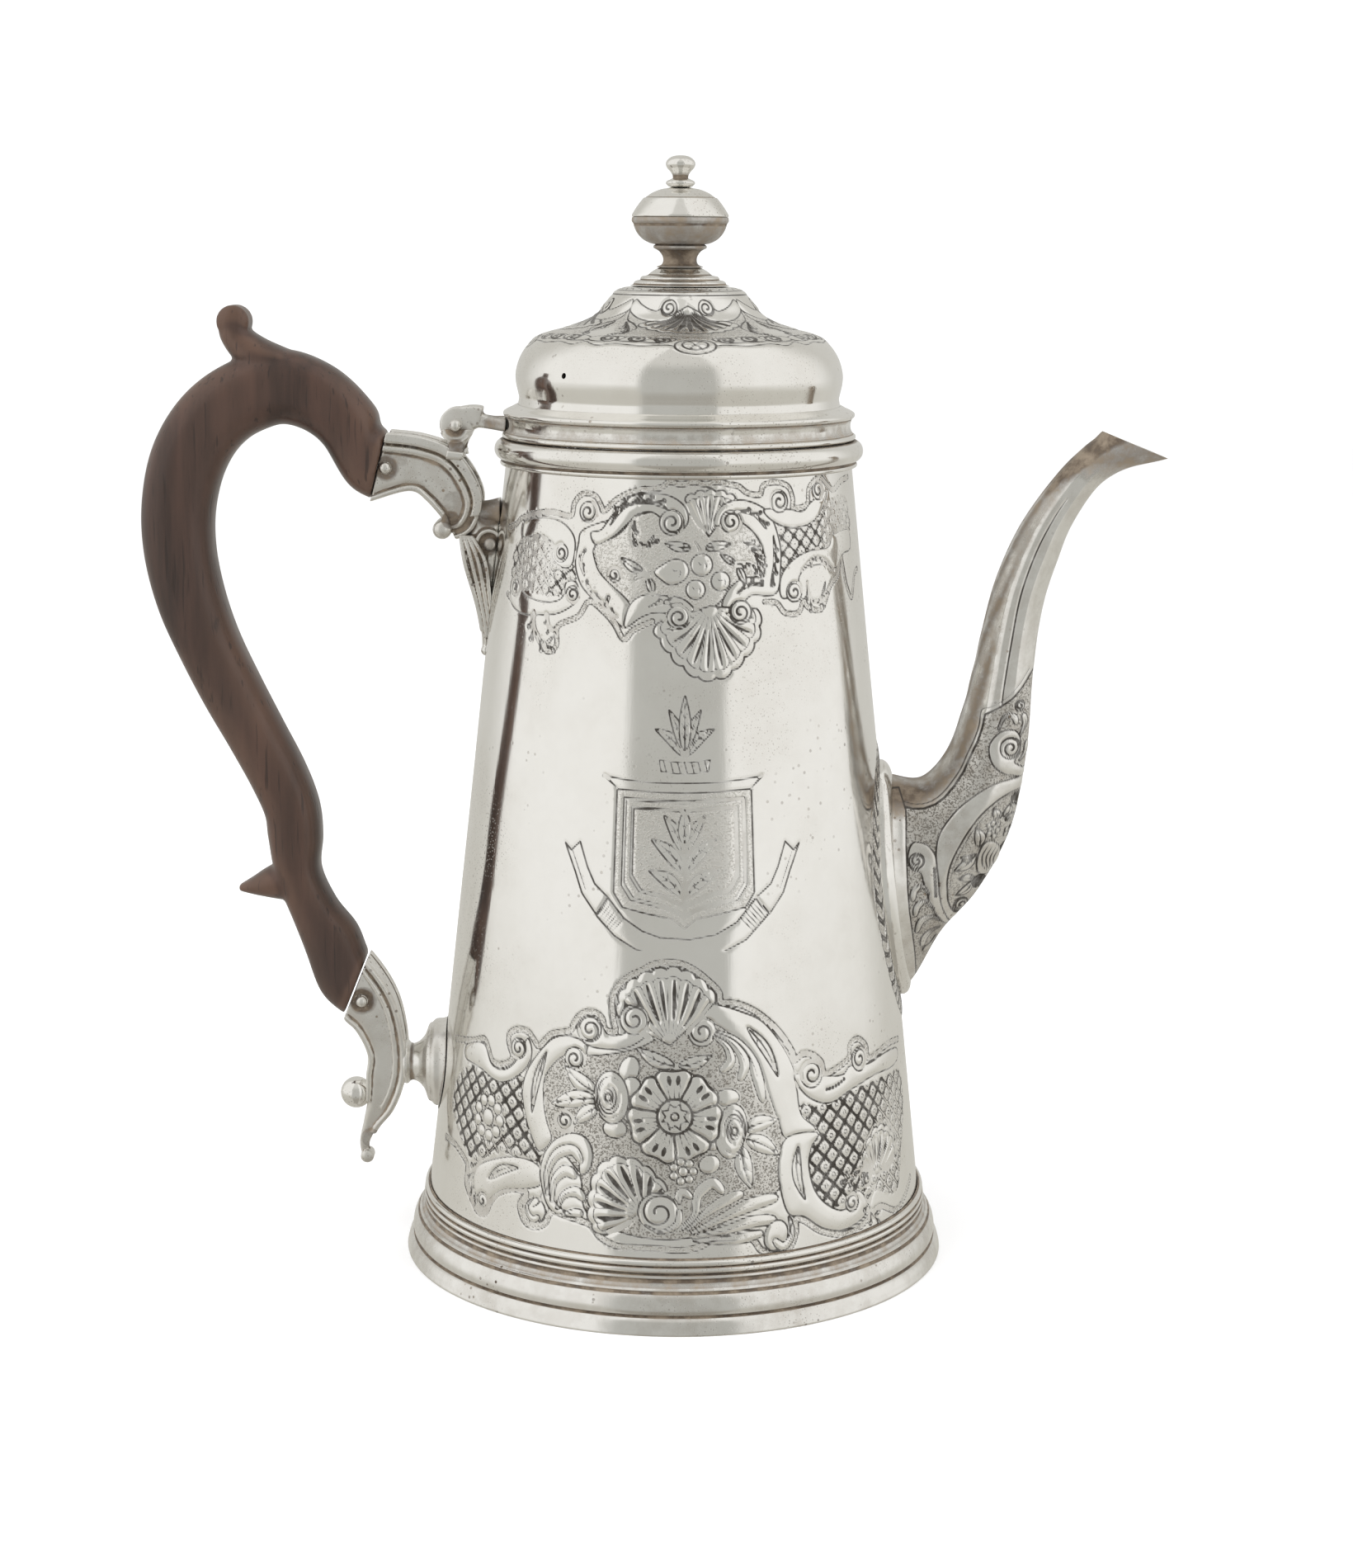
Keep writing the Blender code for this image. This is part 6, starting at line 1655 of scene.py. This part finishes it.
def hinge(material):
    """Two outer knuckles with their saddle, the rivet, and the lid's arm with the middle knuckle."""
    x, z = HINGE[0], HINGE[2]
    for side in (-1.0, 1.0):
        near, far = side * 3.0, side * 6.8
        drum = [(3.5, near), (3.75, near + side * 0.3), (3.75, far - side * 0.5), (3.45, far), (3.05, far),
                (2.85, far - side * 0.3), (2.7, far - side * 0.75), (1.2, far - side * 0.75)]
        parts = [turned(x, z, drum if side > 0.0 else drum[::-1])]
        stem = ((x + 0.1, z - 1.0, 3.3, 1.85, 90.0), (x + 0.1, 184.6, 2.9, 1.9, 90.0),
                (x + 0.2, 183.6, 2.2, 1.75, 90.0), (x + 0.1, 182.0, 1.7, 1.7, 90.0),
                (x - 0.2, 180.3, 2.3, 1.9, 90.0))
        parts.append(sweep(stem, 5.0, 40, 8, (near + far) / 2.0 - side * 0.45))
        # Dark patches: painted shade round the rivet and where the stem meets the rim.
        knuckle = fuse("pot_knuckle_" + ("back" if side > 0.0 else "front"), parts, 0.15, 2,
                       shade_and_tarnish_marks=((x, z, 3.6, 1.0), (x + 0.1, 182.2, 3.0, 0.9)))
        finish_piece(knuckle, material, "pot", "cast_silver", "hinge_stem")
    saddle = sweep(((x - 2.0, 180.9, 1.3, 6.8, -10.0), (x + 1.6, 180.5, 1.3, 6.8, -24.0)), 4.0, 32, 6)
    saddle = fuse("hinge_saddle", [saddle], 0.25, 3)
    finish_piece(saddle, material, "pot", "cast_silver", "hinge_stem")
    pin = fuse("hinge_rivet", [rod(x, z, 1.3, -7.4, 7.4, 1.1)], 0.12, 1)
    finish_piece(pin, material, "pot", "silver", "hinge_pin")

    arm = ((x + 0.4, 189.5, 1.5, 2.5, -14.0), (x + 2.6, 189.3, 2.1, 2.6, -18.0),
           (x + 4.4, 188.6, 2.7, 2.7, -20.0), (x + 4.9, 188.4, 2.5, 2.7, -20.0),
           (x + 5.3, 187.9, 1.6, 2.6, -16.0), (x + 7.4, 187.5, 1.4, 3.0, -8.0),
           (x + 9.4, 187.3, 1.5, 4.2, -4.0), (x + 10.8, 187.2, 1.6, 4.6, -4.0))
    # Dark patch: painted shade where the arm meets the lid's edge.
    leaf = fuse("lid_knuckle", [rod(x, z, 3.75, -2.7, 2.7, 0.4), sweep(arm, 5.0, 40, 8)], 0.15, 2,
                shade_and_tarnish_marks=((x + 8.6, 187.0, 4.0, 0.8),))
    finish_piece(leaf, material, "lid", "cast_silver", "hinge_lid_leaf")


def lower_socket(material, bright):
    """The cast scroll at the foot of the handle, with cords along its edges and a ball in its curl."""
    parts = [sweep(recessed(LOWER_SOCKET, 1.4), 5.0, 48, 10)]
    for side, inset, radius, end in ((-1.0, 0.7, 0.75, 44), (-1.0, 2.6, 0.5, 34), (1.0, 0.6, 0.65, 34)):
        parts += edge_cord(LOWER_SOCKET, side, 5.0, radius, inset, 0, end)
    parts.append(rod(-70.6, 19.5, 1.5, -2.3, 2.3, 0.7))
    # Dark patches: painted shade round the pin and in the curled end by the body.
    socket = fuse("lower_scroll", parts, 0.2, 2, shade_and_tarnish_marks=((*LOWER_PIN, 4.2, 1.0), (-69.5, 24.0, 3.8, 0.8)))
    finish_piece(socket, material, "pot", "cast_silver", "lower_socket")
    bead_piece = fuse("scroll_bead", [ball(-73.0, 34.4, 3.6)], 0.25, 2)
    finish_piece(bead_piece, bright, "pot", "cast_silver", "lower_scroll_bead")


def lower_boss(material):
    """The waisted neck and stepped disc that join the lower scroll to the body."""
    outline = [(0.0, 49.0), (10.0, 49.0), (10.0, 53.4), (9.9, 54.6), (9.5, 55.2), (9.5, 55.2), (9.1, 55.4),
               (9.0, 55.9), (8.6, 56.3), (8.6, 56.3), (7.9, 56.5), (6.2, 57.2), (4.9, 58.3), (4.3, 59.4),
               (4.2, 60.0), (4.5, 60.6), (5.0, 60.9), (5.0, 61.6), (4.4, 62.0), (0.0, 62.0)]
    line = fair(outline, 0.25)
    turn = np.linspace(0.0, math.tau, 96, endpoint=False)
    rings = np.stack([-np.repeat(line[:, 1:], 96, 1), line[:, :1] * np.cos(turn),
                      41.8 + line[:, :1] * np.sin(turn)], -1)
    mesh = solid_mesh("boss", rings, grid_faces(len(line), 96).tolist())
    boss = fuse("lower_neck", [mesh], 0.25, 2, seat=0.1)
    finish_piece(boss, material, "pot", "cast_silver", "lower_boss")


# ---------------------------------------------------------------- studio

# Brightness of the tent as the silver mirrors it. The gap is the dim opening on the camera's side.
FRONT_PANEL, BACK_PANEL, LOW_PANEL = (0.90, 0.89, 0.865), (0.62, 0.61, 0.575), (0.60, 0.585, 0.535)
GAP, HIGH_GAP = (0.50, 0.497, 0.47), (0.68, 0.67, 0.64)
FLOOR_GAP, FLOOR = (0.36, 0.34, 0.30), (0.56, 0.54, 0.49)
BACKDROP = (1.12, 1.12, 1.12)


def light_tent():
    """The world: plain white to the eye, and a tent with a dim gap to polished silver."""
    world = bpy.data.worlds.new("light_tent")
    bpy.context.scene.world = world
    world.use_nodes = True
    n = Nodes(world.node_tree)
    n.tree.nodes.clear()
    ray = n.add("SeparateXYZ")
    n.put(ray.inputs[0], n.add("TexCoord").outputs["Generated"])
    x, y, z = ray.outputs
    azimuth = n.math('ABSOLUTE', n.math('ARCTAN2', x, n.math('MULTIPLY', y, -1.0)))
    gap = n.fit(azimuth, math.radians(25.0), math.radians(31.0))
    side = n.fit(azimuth, math.radians(105.0), math.radians(140.0))
    down = n.math('MULTIPLY', z, -1.0)
    panels = n.mix(side, FRONT_PANEL, BACK_PANEL)
    panels = n.mix(n.fit(down, 0.02, 0.34), panels, LOW_PANEL)
    glossy = n.mix(gap, n.mix(n.fit(z, 0.50, 0.85), GAP, HIGH_GAP), panels)
    glossy = n.mix(n.fit(down, 0.30, 0.62), glossy, n.mix(gap, FLOOR_GAP, FLOOR))
    seen = n.mix(n.add("LightPath").outputs["Is Glossy Ray"], BACKDROP, glossy)
    background = n.add("Background")
    n.put(background.inputs["Color"], seen)
    n.put(n.add("OutputWorld").inputs["Surface"], background.outputs[0])


def studio():
    """A white table in a light tent, and two soft lamps."""
    half_width, front, back = 1500.0, -245.0, 2500.0
    x = np.linspace(-half_width, half_width, 41)
    y = np.linspace(front, back, 41)
    grid = np.stack(np.meshgrid(x, y), -1).reshape(-1, 2)
    table = make_object("table_top", np.column_stack([grid, np.full(len(grid), -0.02)]),
                        grid_faces(41, 41, wrap_columns=False))
    p = Paint("table_paper")
    tone = p.fit(p.noise(6.0, 3.0), 0.3, 0.7)
    table.data.materials.append(p.finish(Base_Color=p.mix(tone, (0.90, 0.90, 0.905), (0.93, 0.93, 0.93)),
                                         Roughness=0.85, Normal=p.bump(p.noise(900.0), 0.0001, 0.2)))
    table.visible_glossy = False
    light_tent()
    for name, place, energy in (("left_softbox", (-0.9, -0.6, 0.9), 9.0),
                                ("right_softbox", (0.9, -0.5, 0.8), 6.0)):
        lamp = bpy.data.lights.new(name, 'AREA')
        lamp.energy = energy
        lamp.size = 0.9
        holder = bpy.data.objects.new(name, lamp)
        holder.location = place
        holder.rotation_euler = (Vector((0.0, 0.0, 0.1)) - Vector(place)).to_track_quat('-Z', 'Y').to_euler()
        holder.visible_camera = False
        holder.visible_glossy = False
        bpy.context.scene.collection.objects.link(holder)
    bpy.context.scene.view_settings.view_transform = 'Standard'


LENS_MM, SENSOR_MM = 65.55, 36.0
CAMERA_BACK, CAMERA_HEIGHT = 0.6299, 0.2298   # metres from the pot's axis and above the table
CAMERA_DOWN, CAMERA_ROLL = 11.039, 0.38       # degrees


def camera():
    """The photograph's own viewpoint, fitted to the outlines of the mouldings."""
    lens = bpy.data.cameras.new("camera")
    lens.lens = LENS_MM
    lens.sensor_width = SENSOR_MM
    lens.clip_start = 0.01
    holder = bpy.data.objects.new("camera", lens)
    holder.location = (AXIS_X * MM, -CAMERA_BACK, CAMERA_HEIGHT)
    pitch, roll = math.radians(90.0 - CAMERA_DOWN), math.radians(CAMERA_ROLL)
    holder.rotation_euler = (Matrix.Rotation(pitch, 3, 'X') @ Matrix.Rotation(roll, 3, 'Z')).to_euler()
    bpy.context.scene.collection.objects.link(holder)
    bpy.context.scene.camera = holder


def main():
    studio()
    camera()
    bright = silver("polished_silver", 0.15, 0.8)
    worn = silver("worn_silver", 0.5, 1.0, 0.13)
    cast = silver("cast_scrolls", 0.35, 1.0, 0.26)
    dull = silver("dull_silver", 0.8, 0.5, 0.2)
    chased = silver("chased_silver", 0.10, 0.4, 0.09, chased=True)
    spout_silver = silver("spout_silver", 0.62, 1.0, 0.16, chased=True)
    inside = silver("inside_silver", 0.5, 0.6, 0.22)
    wood = fruitwood("handle_wood")
    body_skin(chased)
    body_lining(inside)
    base_plate(inside)
    foot(worn, bright)
    rim(bright)
    lid_cover(chased)
    lid_inside(inside)
    lid_mouldings(bright)
    finial(bright, dull)
    spout(spout_silver)
    spout_apron(bright)
    wood_handle(wood)
    upper_socket(cast)
    upper_bracket(cast)
    hinge(cast)
    lower_socket(cast, bright)
    lower_boss(cast)


main()
